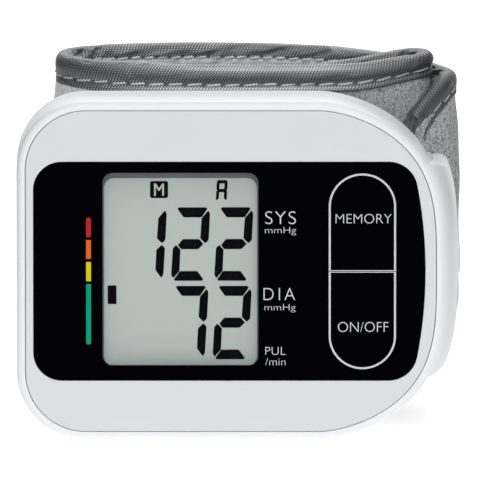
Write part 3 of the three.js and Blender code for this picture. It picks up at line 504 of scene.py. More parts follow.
INK_FACE = 0.01
pale_ink = ink("pale_ink", (0.52, 0.53, 0.54), (0.68, 0.69, 0.70))
unit_words = words("unit_words", [
    ("SYS", 1.08, 6.45, 12.3, 9.1, 11.56), ("mmHg", 1.0, 6.46, 12.33, 6.95, 8.54),
    ("DIA", 1.3, 6.17, 12.14, -5.50, -3.19), ("mmHg", 1.0, 6.36, 12.23, -7.87, -6.3),
    ("PUL", 1.05, 6.52, 10.34, -16.07, -14.54), ("/min", 1.0, 6.52, 10.34, -18.07, -16.65)], INK_FACE)
dress(unit_words, pale_ink, "monitor", "black_panel")

SCALE_LEFT, SCALE_RIGHT = -27.44, -26.5
scale_fields = (
    ("red", 6.61, 10.36, (0.36, 0.012, 0.012), (0.50, 0.018, 0.016)),
    ("orange", 2.42, 6.04, (0.60, 0.10, 0.012), (0.74, 0.14, 0.016)),
    ("yellow", -1.88, 1.81, (0.56, 0.46, 0.006), (0.68, 0.58, 0.010)),
    ("green", -14.11, -2.42, (0.0, 0.24, 0.137), (0.0005, 0.335, 0.195)))
for colour, low, high, dark, light in scale_fields:
    foot = 0.45 if colour == "green" else 0.06
    head = 0.45 if colour == "red" else 0.06
    field = spaced(np.vstack([
        arc(SCALE_RIGHT - head, high - head, head, 0, 90, 9), arc(SCALE_LEFT + head, high - head, head, 90, 180, 9),
        arc(SCALE_LEFT + foot, low + foot, foot, 180, 270, 9),
        arc(SCALE_RIGHT - foot, low + foot, foot, 270, 360, 9)]), 90)
    bar = plate(f"scale_{colour}", [field], INK_FACE - 0.03, INK_FACE, 0.008, 2)
    dress(bar, ink(f"{colour}_ink", dark, light), "monitor", "black_panel")

# Display window: the clear part of the panel over the display, polished acrylic, level with the
# panel's face and held behind its edge.
clear_acrylic, at = finish("clear_acrylic")
surface(clear_acrylic, at, {"Base Color": (0.004, 0.005, 0.006, 1), "Roughness": 0.03, "Alpha": 0.035,
                             "Specular IOR Level": 0.08})
window = plate("clear_window", [window_line(-0.04)], 0.02, 1.0, 0.05)
dress(window, clear_acrylic, "monitor", "clear_window", "display_window")

# Display: a reflective liquid crystal cell, glass with a grey-green polariser, sunk behind the plate.
# A thin dark band on the glass under the window's top edge, narrow at its sides, is painted shadow; the reading is
# dark segments, thin fields under the polariser.
GLASS_FRONT = 2.5
lcd_grey, at = finish("lcd_grey")
sparkle = at.noise(9000, 2)
sheen = at.stretched(1, 1, 0.35).noise(55, 2)
surface(lcd_grey, at, {
    "Base Color": (sparkle * 0.45 + sheen * 0.55).tint((0.47, 0.535, 0.505), (0.54, 0.6, 0.57)),
    "Roughness": 0.3 + sparkle * 0.1,
    "Specular IOR Level": 0.25,
}, sparkle, 2e-6)
cell_glass = plate("display_glass", [window_line(2.0)], GLASS_FRONT, 4.3, 0.1)
dress(cell_glass, lcd_grey, "monitor", "lcd", "lcd_glass")

# Painted shadow: a thin dark grey sheet on the glass, wide under the window's top edge and narrow at its sides,
# where that edge shades the display
painted_shadow_grey, at = finish("painted_shadow_grey")
cells = at.noise(6000, 3)
surface(painted_shadow_grey, at, {"Base Color": cells.tint((0.155, 0.175, 0.188), (0.19, 0.21, 0.223)),
                          "Roughness": 0.85 + cells * 0.1, "Specular IOR Level": 0.1}, cells, 6e-6)
shadow_band = plate("display_shadow_band", [window_line(0.8), rounded(-24.05, 4.95, -18.65, 17.5, 1.9)[::-1]],
               GLASS_FRONT - 0.06, GLASS_FRONT, 0.01, 1)
dress(shadow_band, painted_shadow_grey, "monitor", "lcd")

# A digit's segments in mm from its foot, before it is slanted; a to g as on any seven-bar display
SEGMENTS = {
    "a": ((0.67, 13.8), (0.51, 13.5), (1.74, 11.92), (5.17, 11.92), (6.16, 13.52), (5.95, 13.8)),
    "b": ((6.36, 13.24), (5.17, 11.77), (5.13, 7.97), (6.13, 7.03), (6.75, 7.66), (6.73, 12.6)),
    "c": ((6.13, 6.77), (5.13, 5.83), (5.17, 2.03), (6.36, 0.56), (6.73, 1.2), (6.75, 6.14)),
    "d": ((0.76, 0.0), (5.96, 0.0), (6.14, 0.32), (4.9, 1.83), (1.6, 1.83), (0.56, 0.24)),
    "e": ((0.64, 6.72), (0.04, 6.14), (0.0, 1.19), (0.41, 0.46), (1.55, 1.83), (1.5, 5.84)),
    "f": ((0.64, 7.08), (1.5, 7.96), (1.55, 11.97), (0.41, 13.34), (0.0, 12.61), (0.04, 7.66)),
    "g": ((1.84, 7.84), (0.97, 6.72), (1.57, 5.94), (4.87, 5.94), (5.8, 6.92), (4.96, 7.84)),
}
LIT = {"1": "bc", "2": "abged", "7": "abc", "A": "abcefg"}
SLANT = 0.056


def segments(figure, x, y, scale=(1.0, 1.0), slant=SLANT):
    """The lit segments of a figure as polygons on the display: each point is foot + scale * point, pushed
    sideways by slant times its height."""
    scaled = (np.array(SEGMENTS[bar]) * scale for bar in LIT[figure])
    return [np.stack([x + bar[:, 0] + slant * bar[:, 1], y + bar[:, 1]], -1) for bar in scaled]


def eased(polygon, radius=0.16, count=5):
    """A polygon with its corners cut round: each corner becomes a quadratic curve between two points that lie
    radius away from it on its sides."""
    before = np.roll(polygon, 1, 0) - polygon
    after = np.roll(polygon, -1, 0) - polygon
    start = polygon + before / np.linalg.norm(before, axis=1, keepdims=True) * radius
    end = polygon + after / np.linalg.norm(after, axis=1, keepdims=True) * radius
    t = np.linspace(0, 1, count)[None, :, None]
    curve = start[:, None] * (1 - t) ** 2 + 2 * polygon[:, None] * t * (1 - t) + end[:, None] * t ** 2
    return curve.reshape(-1, 2)


def leftwards(polygon):
    """The polygon walked to the left, with its area on the left side."""
    x, y = polygon.T
    area = np.sum(x * np.roll(y, -1) - y * np.roll(x, -1))
    return polygon if area > 0 else polygon[::-1]


reading = [bar for figure, x, y in (
    ("1", -19.6, -2.25), ("2", -11.4, -2.25), ("2", -3.22, -2.23), ("7", -11.72, -17.36), ("2", -3.54, -17.36))
    for bar in segments(figure, x, y, (1.0, 1.024))]
small_letter = [leftwards(eased(bar, 0.05)) for bar in segments("A", -2.82, 13.17, (0.29, 0.282))]
small_letter = [bar + 0.06 * outwards(bar) for bar in small_letter]
battery_bar = np.array([(-23.36, -6.72), (-21.69, -6.72), (-21.69, -3.12), (-23.36, -3.12)])
polygons = [eased(bar) for bar in reading] + small_letter + [eased(battery_bar, 0.08)]
MEMORY_SIGN = rounded(-15.32, -11.91, 13.67, 16.94, 0.4, 80)
fields = [plate(f"bar_{k}", [leftwards(p)], GLASS_FRONT - 0.02, GLASS_FRONT + 0.02, 0.005, 1)
          for k, p in enumerate(polygons + [MEMORY_SIGN])]
lcd_dark, at = finish("lcd_dark")
surface(lcd_dark, at, {
    "Base Color": at.noise(1500, 2).tint((0.001, 0.0015, 0.002), (0.002, 0.0026, 0.0034)),
    "Roughness": 0.35 + at.noise(2400, 2) * 0.1,
    "Specular IOR Level": 0.03,
})
dress(joined("display_reading", *fields), lcd_dark, "monitor", "lcd")
sign_box = (-14.55, -12.68, 14.12, 16.48)
sign_letter = words("display_sign", [("M", 1.0, *sign_box)], GLASS_FRONT - 0.015, weight=0.012)
dress(sign_letter, lcd_grey, "monitor", "lcd")

# Keys: two black keycaps that share one pill-shaped opening, moulded in the panel's gloss black, each
# edged with a printed line and named in the same ink. They ride in guides and press on small switches.
KEY_GAP = 0.05


def half_pill(side, offset, base):
    """Outline of one key, inset from the pill by offset and from the line between the keys by base."""
    half = KEY_HALF - KEY_GAP - offset
    middle = KEY_HIGH - KEY_HALF
    turn = arc(KEY_X, middle, half, 0, 180, 120)
    foot = np.stack([np.linspace(KEY_X - half, KEY_X + half, 60)[:-1], np.full(59, base)], -1)
    side_left = np.stack([np.full(60, KEY_X - half), np.linspace(middle, base, 60)], -1)[1:-1]
    side_right = np.stack([np.full(60, KEY_X + half), np.linspace(base, middle, 60)], -1)[:-1]
    loop = np.vstack([turn, side_left, foot, side_right])
    return loop if side > 0 else (loop * (1, -1))[::-1]


for name, side, text, box_of_text in (
        ("memory", 1, "MEMORY", (19.81, 30.42, 9.23, 11.04)),
        ("power", -1, "ON/OFF", (20.28, 29.83, -11.65, -9.73))):
    body = f"{name}_key"
    cap = plate(f"{name}_cap", [half_pill(side, 0.0, KEY_GAP)], 0.0, 3.5, 0.08)
    dress(cap, black_gloss, body, "black_panel", f"{name}_button")
    line = plate(f"{name}_line", [half_pill(side, 0.03, KEY_GAP + 0.02), half_pill(side, 0.40, 0.22)[::-1]],
                 INK_FACE - 0.03, INK_FACE, 0.006, 2)
    dress(line, pale_ink, body, "black_panel")
    dress(words(f"{name}_word", [(text, 1.0, *box_of_text)], INK_FACE), pale_ink, body, "black_panel")

# Cells: two AAA cells side by side in the bay, drawn steel cans in a shrunk plastic sleeve, with the
# plus nub at one end; they touch flat steel contacts at both ends.
CELL_DEPTH, CELL_LEFT, CELL_LENGTH = 14.85, -5.4, 44.5
CELL_PROFILE = np.array([
    (0.0, 0.0), (0.0, 3.6), (0.12, 4.4), (0.0, 4.75), (0.18, 5.1), (0.5, 5.25), (20.0, 5.25), (42.9, 5.25),
    (43.25, 5.12), (43.45, 4.8), (43.3, 4.3), (43.4, 2.1), (43.6, 1.92), (44.2, 1.9), (44.45, 1.7), (44.5, 0.0)])


def cell(name, y, turn):
    """A cell along x: its profile of (length, radius) swung round its axis, from the minus end to the nub."""
    length, radius = CELL_PROFILE.T
    swing = np.linspace(0, 2 * np.pi, 56, endpoint=False)[:, None]
    x = CELL_LEFT + (length if turn > 0 else CELL_LENGTH - length)
    grid = place(x, y + radius * np.cos(swing), CELL_DEPTH + radius * np.sin(swing))
    lap = np.linspace(0, 1, len(swing) + 1)[:, None]
    uv = np.stack(np.broadcast_arrays(length[None] / CELL_LENGTH, lap), -1)
    return skin(name, grid, (True, False), uv, 50)


cell_wrap, at = finish("cell_wrap", "UV")
along = at.axis(0)
fold = at.stretched(40, 9, 1).noise(3, 3)
band = along.between(0.70, 0.705) - along.between(0.952, 0.957)
can = 1 - along.between(0.012, 0.016) + along.between(0.962, 0.966)
sleeve = band.tint((0.035, 0.04, 0.05), (0.42, 0.35, 0.2))
surface(cell_wrap, at, {
    "Base Color": can.tint(sleeve, (0.62, 0.61, 0.6)),
    "Metallic": can * 0.9 + band * (1 - can) * 0.5,
    "Roughness": 0.28 + fold * 0.15,
}, fold, 1.5e-5)
dress(cell("cell_upper", 5.6, -1), cell_wrap, "monitor", "cell_sleeve", "battery_1")
dress(cell("cell_lower", -5.6, 1), cell_wrap, "monitor", "cell_sleeve", "battery_2")

# Battery cover: the white ear on the right side, a shell that flares from the rim and follows the bulged
# wall, with a plug that reaches into the bay and a small thumb tab. Moulded in the case's ABS, snapped on.
COVER_HALF, COVER_OUT = 18.9, 4.1
FLARE_DEPTH = 10.8
END_EDGE = 0.3


def wall_x(offset, y):
    """x of the bulged right side at height y, with the seam moved outwards by offset; whole arrays of both, read
    from a table of seams a tenth apart."""
    heights = np.linspace(-24, 24, 481)
    side = SEAM[:, 0] > 17.5
    table = []
    for level in np.linspace(0, 4.6, 47):
        line = SEAM[side] + SEAM_OUT[side] * level
        order = np.argsort(line[:, 1])
        table.append(np.interp(heights, line[order, 1], line[order, 0]))
    table = np.stack(table)
    share, step = (offset * 10).clip(0, 45.999), ((y + 24) * 10).clip(0, 479.999)
    low, row = share.astype(int), step.astype(int)
    part, over = share - low, step - row
    near = table[low, row] * (1 - part) + table[low + 1, row] * part
    far = table[low, row + 1] * (1 - part) + table[low + 1, row + 1] * part
    return near * (1 - over) + far * over


def ear(rows=170):
    """Rings of the cover over its height y: a profile of (offset, depth) whose front flares from the crest of the
    rim to the outer side in a quarter ellipse, and whose back edge is round. The outer side draws in by a quarter
    round of 1 at both ends, the last rings shrink to round the end faces, and the front reaches further up and
    down."""
    angle = np.linspace(0, 0.5, 30) * np.pi
    flare = np.stack([LIP + (COVER_OUT - LIP) * np.sin(angle), FLARE_DEPTH * (1 - np.cos(angle)) - 0.006], -1)
    profile = np.array([
        (RIM + 0.03, 3.0), (0.9, 0.6), *flare,
        *turned(COVER_OUT - 1.5, BACK - 1.5, 1.5, 0, 90, 10),
        (2.1, BACK), (RIM + 0.12, BACK), (RIM + 0.03, BACK - 0.1), (RIM + 0.03, 15.5)])
    reach = 1 + 0.085 * ((FLARE_DEPTH - profile[:, 1]) / FLARE_DEPTH).clip(0, 1)
    t = np.linspace(0, np.pi / 2, 9)
    bend = COVER_HALF - END_EDGE * (1 - np.sin(t))
    straight = np.linspace(END_EDGE - COVER_HALF, COVER_HALF - END_EDGE, rows)[1:-1]
    y = np.concatenate([-bend[::-1], straight, bend])[:, None]
    from_end = COVER_HALF - np.abs(y)
    draw = 1.0 - np.sqrt(1.0 - (1.0 - from_end).clip(0) ** 2)
    inset = END_EDGE - np.sqrt(END_EDGE ** 2 - (END_EDGE - from_end).clip(0) ** 2)
    middle = np.array([2.7, 15.5])
    half = np.array([1.2, 11.0])
    shrunk = middle + (profile[None] - middle) * (1 - (inset[..., None] / half).clip(0, 1))
    offset = np.minimum(shrunk[..., 0], COVER_OUT - draw - inset)
    depth = shrunk[..., 1]
    ends = [np.full_like(offset[:1], 2.0), np.full_like(depth[:1], 15.5)]
    offset = np.vstack([ends[0], offset, ends[0]])
    depth = np.vstack([ends[1], depth, ends[1]])
    y = np.vstack([y[:1] + 0 * reach, y * reach, y[-1:] + 0 * reach])
    return place(wall_x(offset, y), y, depth)


def cushion_block(x, y, depth, power=0.28, rows=24):
    """A block with softly rounded edges between pairs of x, y and depth: a ball whose three directions are
    raised to a power below one, which swells it towards its corners."""
    u = np.linspace(0, 2 * np.pi, 2 * rows, endpoint=False)
    u, v = np.meshgrid(u, np.linspace(-np.pi / 2, np.pi / 2, rows), indexing="ij")
    ball = np.stack([np.cos(v) * np.cos(u), np.cos(v) * np.sin(u), np.sin(v)], -1)
    swell = np.sign(ball) * np.abs(ball) ** power
    low, high = np.array([x, y, depth], float).T
    at_point = (low + high) / 2 + swell * (high - low) / 2
    return place(*np.moveaxis(at_point, -1, 0))


lid = skin("battery_lid", ear(), (False, True))
tab = skin("lid_tab", cushion_block((42.0, 43.6), (-2.6, 2.6), (12.0, 19.0)), (True, False))
plug = skin("lid_plug", cushion_block((40.05, 41.4), (-10.8, 10.8), (9.65, 20.05), 0.12), (True, False))
dress(joined("battery_lid", lid, tab, plug), white_abs, "battery_door", "white_shell", "battery_cover")

# Works inside the case: a board with its chip, sensor, buzzer and switches, a pump, a valve and their
# silicone tubes, steel contacts and screws. They are bought parts of metal, plastic and rubber that are
# screwed, soldered or pushed in place, and show only through the battery bay and the screw holes.


def works(made, *nodes):
    """Lays a material on solids of the frame as they are."""
    for node in nodes:
        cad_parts[node].data.materials.clear()
        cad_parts[node].data.materials.append(made)


dark_moulding, at = finish("dark_moulding")
erosion = at.noise(3800, 3)
surface(dark_moulding, at, {
    "Base Color": (erosion * 0.5 + at.noise(90, 2) * 0.5).tint((0.018, 0.019, 0.022), (0.032, 0.033, 0.037)),
    "Roughness": 0.45 + erosion * 0.15}, erosion, 8e-6)
works(dark_moulding, "lcd_frame", "memory_switch", "power_switch", "memory_plunger", "power_plunger",
      "controller_chip", "pressure_sensor", "buzzer", "pump_head", "air_manifold", "cuff_mount", "cuff_stiffener")

bright_steel, at = finish("bright_steel")
brushed = at.stretched(900, 40, 900).noise(4, 4)
surface(bright_steel, at, {
    "Base Color": brushed.tint((0.52, 0.52, 0.53), (0.66, 0.66, 0.66)), "Metallic": 1.0,
    "Roughness": 0.22 + brushed * 0.16}, brushed, 4e-6)
works(bright_steel, "contact_plus", "contact_minus", "contact_bridge", "pump_motor", "exhaust_valve",
      *(f"case_screw_{k}" for k in range(1, 5)), "board_screw_1", "board_screw_2")

board_green, at = finish("board_green")
tracks = at.node("ShaderNodeTexBrick", {"offset": 0.5}, {
    "Vector": at, "Scale": 420.0, "Mortar Size": 0.03, "Color1": (0.012, 0.085, 0.04, 1),
    "Color2": (0.016, 0.105, 0.05, 1), "Mortar": (0.05, 0.17, 0.07, 1)})
surface(board_green, at, {
    "Base Color": tracks, "Roughness": 0.35 + at.noise(600, 2) * 0.2}, at.noise(900, 2), 1e-5)
works(board_green, "main_board")

clear_silicone, at = finish("clear_silicone")
surface(clear_silicone, at, {"Base Color": at.noise(300, 3).tint((0.58, 0.55, 0.48), (0.7, 0.68, 0.62)),
                             "Roughness": 0.45 + at.noise(1200, 2) * 0.2}, at.noise(1500, 2), 6e-6)
works(clear_silicone, "pump_tube", "valve_tube", "sensor_tube")

black_rubber, at = finish("black_rubber")
surface(black_rubber, at, {"Base Color": at.noise(500, 3).tint((0.02, 0.02, 0.021), (0.04, 0.04, 0.041)),
                           "Roughness": 0.75 + at.noise(1600, 2) * 0.15}, at.noise(2000, 3), 1e-5)
works(black_rubber, "zebra_strip_top", "zebra_strip_bottom", "cuff_bladder")

# Cuff: a padded strip 68 mm wide, coned to 60 at the right, rolled up behind the case with its inner end
# folded back. Outside it has light grey loop fabric laminated on foam, inside a dark woven lining, with a
# bladder between them; a plate holds the front of the roll to the case, and the flap is tucked in beside it.
PLAN = np.vstack([
    [(13, 9.9), (22, 11.0), (28.5, 12.85)], arc(33.68, 11.4, 2.9, 105, -75, 9), [
        (30, 7.35), (20, 5.2), (8, 4.0), (-6, 3.8), (-19, 5.2), (-28, 8.8), (-31.5, 14.6), (-31.0, 20.8),
        (-27.2, 25.0), (-18.5, 27.5), (-8, 29.2), (3, 29.6), (13, 28.3), (22.5, 25.6), (31, 22.0), (37.2, 18.4),
        (40.2, 15.0), (41.1, 11.0), (40.2, 7.2), (38.0, 4.5), (35.6, 3.15), (33.2, 2.75), (31.4, 2.6)]])


def strip_line():
    """Middle of the strip from above: cubic pieces through the plan's points, whose slopes come from the points
    on both sides, each weighted by the square root of its distance."""
    points = np.vstack([2 * PLAN[0] - PLAN[1], PLAN, 2 * PLAN[-1] - PLAN[-2]])
    a, b, c, d = points[:-3], points[1:-2], points[2:-1], points[3:]
    ab, bc, cd = (np.linalg.norm(q - p, axis=1, keepdims=True) ** 0.5 for p, q in ((a, b), (b, c), (c, d)))
    leave = ((b - a) / ab - (c - a) / (ab + bc) + (c - b) / bc) * bc
    reach = ((c - b) / bc - (d - b) / (bc + cd) + (d - c) / cd) * bc
    t = np.linspace(0, 1, 120, endpoint=False)[None, :, None]
    b, c, leave, reach = (p[:, None] for p in (b, c, leave, reach))
    curve = ((2 * t ** 3 - 3 * t ** 2 + 1) * b + (t ** 3 - 2 * t ** 2 + t) * leave
             + (3 * t ** 2 - 2 * t ** 3) * c + (t ** 3 - t ** 2) * reach)
    return np.vstack([curve.reshape(-1, 2), PLAN[-1:]])


STRIP = strip_line()
ALONG = np.concatenate([[0], np.cumsum(np.linalg.norm(np.diff(STRIP, axis=0), axis=1))])
LENGTH = ALONG[-1]
TANGENT = np.gradient(STRIP, ALONG, axis=0)
TANGENT /= np.linalg.norm(TANGENT, axis=1, keepdims=True)
BEND = np.gradient(np.unwrap(np.arctan2(TANGENT[:, 1], TANGENT[:, 0])), ALONG)
STRIP_LOW, STRIP_HIGH = -32.5, 35.1
END_RISE, CONE_RISE, FLAP_TAPER = 2.1, 7.6, 2.0
END_ROUND, FLAP_ROUND, FLAP_POWER = 7.0, 12.8, 1.75
SEWN_IN, LAYER_WIDE = 0.85, 66
LEAN = 1.7
LEFT_TURN = ALONG[np.argmin(STRIP[:, 0])]


def ease(value):
    """0 below 0, 1 above 1 and a smooth rise between: 3 v^2 - 2 v^3."""
    value = np.clip(value, 0, 1)
    return value * value * (3 - 2 * value)


def strip_point(along, height, out):
    """A point of the strip in metres: its place along the middle line, its height and its distance outwards
    along the line's normal; the right turn leans in towards the lower edge."""
    x, depth, ahead_x, ahead_depth = (np.interp(along, ALONG, v) for v in (*STRIP.T, *TANGENT.T))
    size = np.hypot(ahead_x, ahead_depth)
    lean = LEAN * ease((x - 26) / 12) * ((-11 - height) / 12).clip(0, 1.3) ** 1.5
    return place(x - ahead_depth / size * out - lean, height, BACK + depth + ahead_x / size * out)


def left_rise(along):
    """How far the upper edge stands up round the left turn: straight between heights at distances from it."""
    return np.interp(along - LEFT_TURN, (-42, -32, -22, -14, -6, 2, 10, 20, 30, 40, 48, 55, 62, 70, 85),
                     (0, 0.15, 0.65, 1.0, 1.1, 1.05, 0.85, 0.6, 0.35, -0.02, -0.15, -0.22, -0.18, -0.1, 0))


def strip_edges(along):
    """Heights of both edges: the folded inner end rises, the upper edge rises round the left turn, the lower one
    rises towards the right turns, as on a coned cuff, and the flap narrows on both sides, all eased."""
    rise = END_RISE * (1 - ease(np.abs(along - 25) / 17))
    taper = FLAP_TAPER * ease((along - LENGTH + 44) / 40)
    cone = CONE_RISE * ease((np.interp(along, ALONG, STRIP[:, 0]) - 12) / 26)
    return STRIP_LOW + rise + taper + cone, STRIP_HIGH + rise - taper + left_rise(along)


def turning(along):
    """How sharply the strip turns, from 0 to 1, counted by a third at the folded inner end."""
    return ease(np.abs(np.interp(along, ALONG, BEND)) / 0.1) * (0.33 + 0.67 * ease((along - 60) / 10))


def corner_drop(from_end, radius, power=2.0):
    """How far a corner draws in an edge at a distance from the end: radius (1 - (1 - w^power)^(1/power)), where w
    goes from 0 to 1 over the radius."""
    inside = (1 - from_end / radius).clip(0, 1)
    return radius * (1 - (1 - inside ** power) ** (1 / power))


def ripple(u, v, seed, count, longest, shortest):
    """Sum of cosine waves over u and v in mm, about -1 to 1, each of its own seeded direction, length and phase."""
    pick = np.random.default_rng(seed)
    turn, phase = pick.uniform(0, 2 * np.pi, (2, count))
    waves = zip(turn, phase, np.geomspace(longest, shortest, count))
    total = sum(np.cos(2 * np.pi * (u * np.cos(a) + v * np.sin(a)) / length + p) for a, p, length in waves)
    return total / math.sqrt(count)


def strip_layer(name, near, far, swell):
    """A layer of the strip as a closed body: over its length and height, one side at near and the other at far,
    both in mm outwards, far moved by swell(along, height share); the ends close on the line between both sides."""
    places = np.linspace(SEWN_IN, LENGTH - SEWN_IN, 430)
    across = np.linspace(0, 1, 76)[None]
    low, high = strip_edges(places)
    drop = (SEWN_IN + corner_drop(places - SEWN_IN, END_ROUND - SEWN_IN)
            + corner_drop(LENGTH - SEWN_IN - places, FLAP_ROUND - SEWN_IN, FLAP_POWER))
    low, high = (low + drop)[:, None], (high - drop)[:, None]
    along, height = np.broadcast_arrays(places[:, None], low + (high - low) * across)
    outer = far + swell(along, across)
    inner = np.full_like(outer, near)
    sides = ((along, along), (height, height), (outer, inner))
    along, height, out = (np.hstack([a, b[:, ::-1]]) for a, b in sides)
    middle = np.full_like(out[:1], (near + far) / 2)
    along = np.vstack([along[:1], along, along[-1:]])
    height = np.vstack([height[:1], height, height[-1:]])
    out = np.vstack([middle, out, middle])
    grid = strip_point(along, height, out)
    uv = np.stack([along, height], -1)
    return skin(name, grid, (False, True), np.concatenate([uv, uv[:, :1]], 1), 60)


def cover_swell(along, across):
    """The foam under the loop fabric: pressed flat at the stitched edges and at the plate, in slow waves
    elsewhere, and bellied out over its middle where the roll turns."""
    inwards = LAYER_WIDE * np.minimum(across, 1 - across)
    free = ease(inwards / 13)
    held = 1 - ease(1.3 - np.abs(along - 66) / 30)
    fold = turning(along) * ease((along - 60) / 10)
    belly = 0.2 * ease((inwards - 4.4) / 0.8) + ease((inwards - 4) / 14)
    belly = belly * fold * np.where(along < 140, 1.0, 0.55)
    pressed = 0.5 - 0.25 * fold * ease((inwards - 2.0) / 1.2) + 0.4 * (1 - ease(inwards / 1.8))
    belly = belly - pressed * (1 - ease((inwards - 3.8) / (2.2 - fold)))
    return belly + free * (0.12 + 0.16 * ripple(along, across * LAYER_WIDE, 4, 9, 60, 11)) * held


loop_fabric, at = finish("loop_fabric", "UV")
patch = at.noise(0.06, 3)
tuft = at.node("ShaderNodeTexVoronoi", {"feature": "F1"}, {"Vector": at, "Scale": 2.6, "Randomness": 1.0})
fuzz = at.noise(3.2, 5, 0.7)
nap = at.stretched(1.6, 0.5, 1).noise(1.1, 3, 0.6)
pile = (1 - tuft) * 0.45 + fuzz * 0.4 + nap * 0.45
# Painted light: round the left turn the loop fabric is lighter and less speckled
painted_left_light = 1 - at.sideways().between(-0.034, -0.022)
speckle = (pile * 0.85 + patch * 0.15).between(0.42, 0.78) * (0.5 - painted_left_light * 0.1) + painted_left_light * 0.5
surface(loop_fabric, at, {
    "Base Color": speckle.tint((0.15, 0.153, 0.159), (0.95, 0.957, 0.968)),
    "Roughness": 0.92,
    "Sheen Weight": 0.15,
    "Sheen Roughness": 0.5,
    "Specular IOR Level": 0.12,
}, pile, 2.2e-4)
cover = strip_layer("cuff_cover", 0.4, 1.5, cover_swell)
dress(cover, loop_fabric, "monitor", "loop_fabric", "cuff_laminate")


def lining_swell(along, across):
    """The lining: slack between its stitched edges, in shallow slanting folds, deeper where the roll turns in."""
    inwards = LAYER_WIDE * np.minimum(across, 1 - across)
    free = ease(inwards / 8)
    turn = ease(np.abs(np.interp(along, ALONG, BEND)) / 0.12)
    pressed = 0.5 * (1 - ease((inwards - 3.8) / 2.2))
    fold = np.cos(2 * np.pi * (along + 14 * across) / 7.5) * ripple(along, across * LAYER_WIDE, 9, 5, 80, 24)
    return pressed + free * (0.1 * ripple(along, across * LAYER_WIDE, 5, 8, 40, 9) + (0.08 + 0.16 * turn) * fold)


def woven(made, at, step, dark, light, relief, tone_and_painted_shading=0.82, even=0.0):
    """A plain weave over UV in mm, u drawn askew by 0.3 v: sin u sin v is above 0 where one set of threads lies
    on top and below 0 where the other does; the threads rise to the middle of each square and differ a little in
    tint. Where the strip turns back at its sides the threads lie end on and shine less, and their colour is
    darkened there as painted shade. The colour is scaled by the given tone, which on the tape carries painted
    light and shade, and even lightens the threads and takes the gaps between them away, painted light on the tape."""
    along, across = at.axis(0), at.axis(1)
    slub = at.stretched(0.25, 3.0, 1).noise(1.2, 3) * 0.5 + at.stretched(3.0, 0.25, 1).noise(1.2, 3) * 0.5
    square = ((along + across * 0.3) * (math.pi / step[0])).sine() * (across * (math.pi / step[1])).sine()
    crown = square.size() ** 0.6
    upper = square.between(-0.2, 0.2)
    height = crown * (0.2 + 0.8 * upper)
    wear = at.noise(0.12, 3)
    aside = at.sideways().size().between(0.024, 0.036)
    weave = (height * 0.85 + slub * 0.16 + wear * 0.12).between(0.2, 0.92)
    # Painted shade: the colour is darker towards the strip's sides; the last factor is the cloth's tone, on the tape
    # also its painted light and shade
    shade = (weave + even) * (1 - aside * 0.45) * tone_and_painted_shading
    surface(made, at, {
        "Base Color": shade.tint(dark, light),
        "Roughness": 0.55 - height * 0.2,
        "Specular IOR Level": 1.0,
        "Coat Weight": height * (0.6 - aside * 0.55),
        "Coat Roughness": 0.38,
    }, height + slub * 0.3, relief)
    return made


lining_cloth, at = finish("lining_cloth", "UV")
THREADS = (0.285, 0.42)
woven(lining_cloth, at, THREADS, (0.03, 0.031, 0.034), (0.36, 0.366, 0.38), 6e-5)
lining = strip_layer("cuff_lining", -0.9, -1.5, lining_swell)
dress(lining, lining_cloth, "monitor", "woven_fabric", "cuff_lining")
lining_cut = [round((full - 2 * SEWN_IN) / 1000, 4) for full in (STRIP_HIGH - STRIP_LOW, LENGTH)]
low, high = strip_edges(np.linspace(SEWN_IN, LENGTH - SEWN_IN, 430))
lining_area = lining_cut[1] * (np.mean(high - low) - 2 * SEWN_IN) / 1000

# Edge binding: a dark grey woven tape folded over the whole edge of the strip with a soft filler under
# it, and sewn down along both of its own edges, so that it stands up as a padded roll. Side 1 is outside
# and side -1 inside the strip.
ROLL_WIDE = 4.9
STITCH_IN = {1: 3.4, -1: 2.4}
STITCH_COUNT = {1: 146, -1: 200}
STITCH_GIRTH = {1: 1.84, -1: 10.92}
CREASE_STEP, CREASE_SLANT = 11.5, 3.5
BOW, BOW_STEP = 1.6, 61


def strip_rim(count):
    """The strip's edge, unrolled, as a closed line of places and heights with round corners, at even steps."""
    ends = np.linspace(0, np.pi / 2, 60)
    places = np.concatenate([
        END_ROUND * (1 - np.cos(ends)), np.linspace(END_ROUND, LENGTH - FLAP_ROUND, 700)[1:-1],
        LENGTH - FLAP_ROUND + FLAP_ROUND * np.sin(ends)])
    low, high = strip_edges(places)
    drop = corner_drop(places, END_ROUND) + corner_drop(LENGTH - places, FLAP_ROUND, FLAP_POWER)
    lower, upper = np.stack([places, low + drop], -1), np.stack([places, high - drop], -1)
    return spaced(np.vstack([lower, upper[::-1]]), count)


RIM_LINE = strip_rim(1320)
RIM_IN = -outwards(RIM_LINE)
RIM_IN *= 1 + np.where(RIM_LINE[:, 1:] > 0, left_rise(RIM_LINE[:, :1]) / 3.6, 0)
RIM_STEPS = np.linalg.norm(np.diff(RIM_LINE, axis=0, append=RIM_LINE[:1]), axis=1)
RIM_WAY = np.concatenate([[0], np.cumsum(RIM_STEPS)])


def roll_half(inwards, side, fold):
    """Half the roll's thickness at a distance inwards from its edge, outside or inside: an ellipse half as wide as
    the way to the stitches, eased down to their valley, then the flat edge of the tape, rounded off. It is flatter
    inside, and where the roll turns by fold."""
    sewn = np.where(side > 0, STITCH_IN[1], STITCH_IN[-1])
    full = np.where(side > 0, 2.35 - 0.6 * fold, 2.05 - 0.7 * fold)
    valley = np.where(side > 0, 1.3 + 0.3 * fold, 1.65 - 0.45 * fold)
    crest = sewn * 0.52
    dome = full * np.sqrt((1 - (1 - (inwards / crest).clip(0, 1)) ** 2).clip(0))
    slope = np.where(inwards < crest, dome, full + (valley - full) * ease((inwards - crest) / (sewn - crest)))
    edge = np.where(side > 0, 0.6 - 0.5 * fold, 0.2)
    return slope + edge * ease((inwards - sewn - 0.05) / 0.9) - 0.4 * ease((inwards - ROLL_WIDE + 0.3) / 0.3)


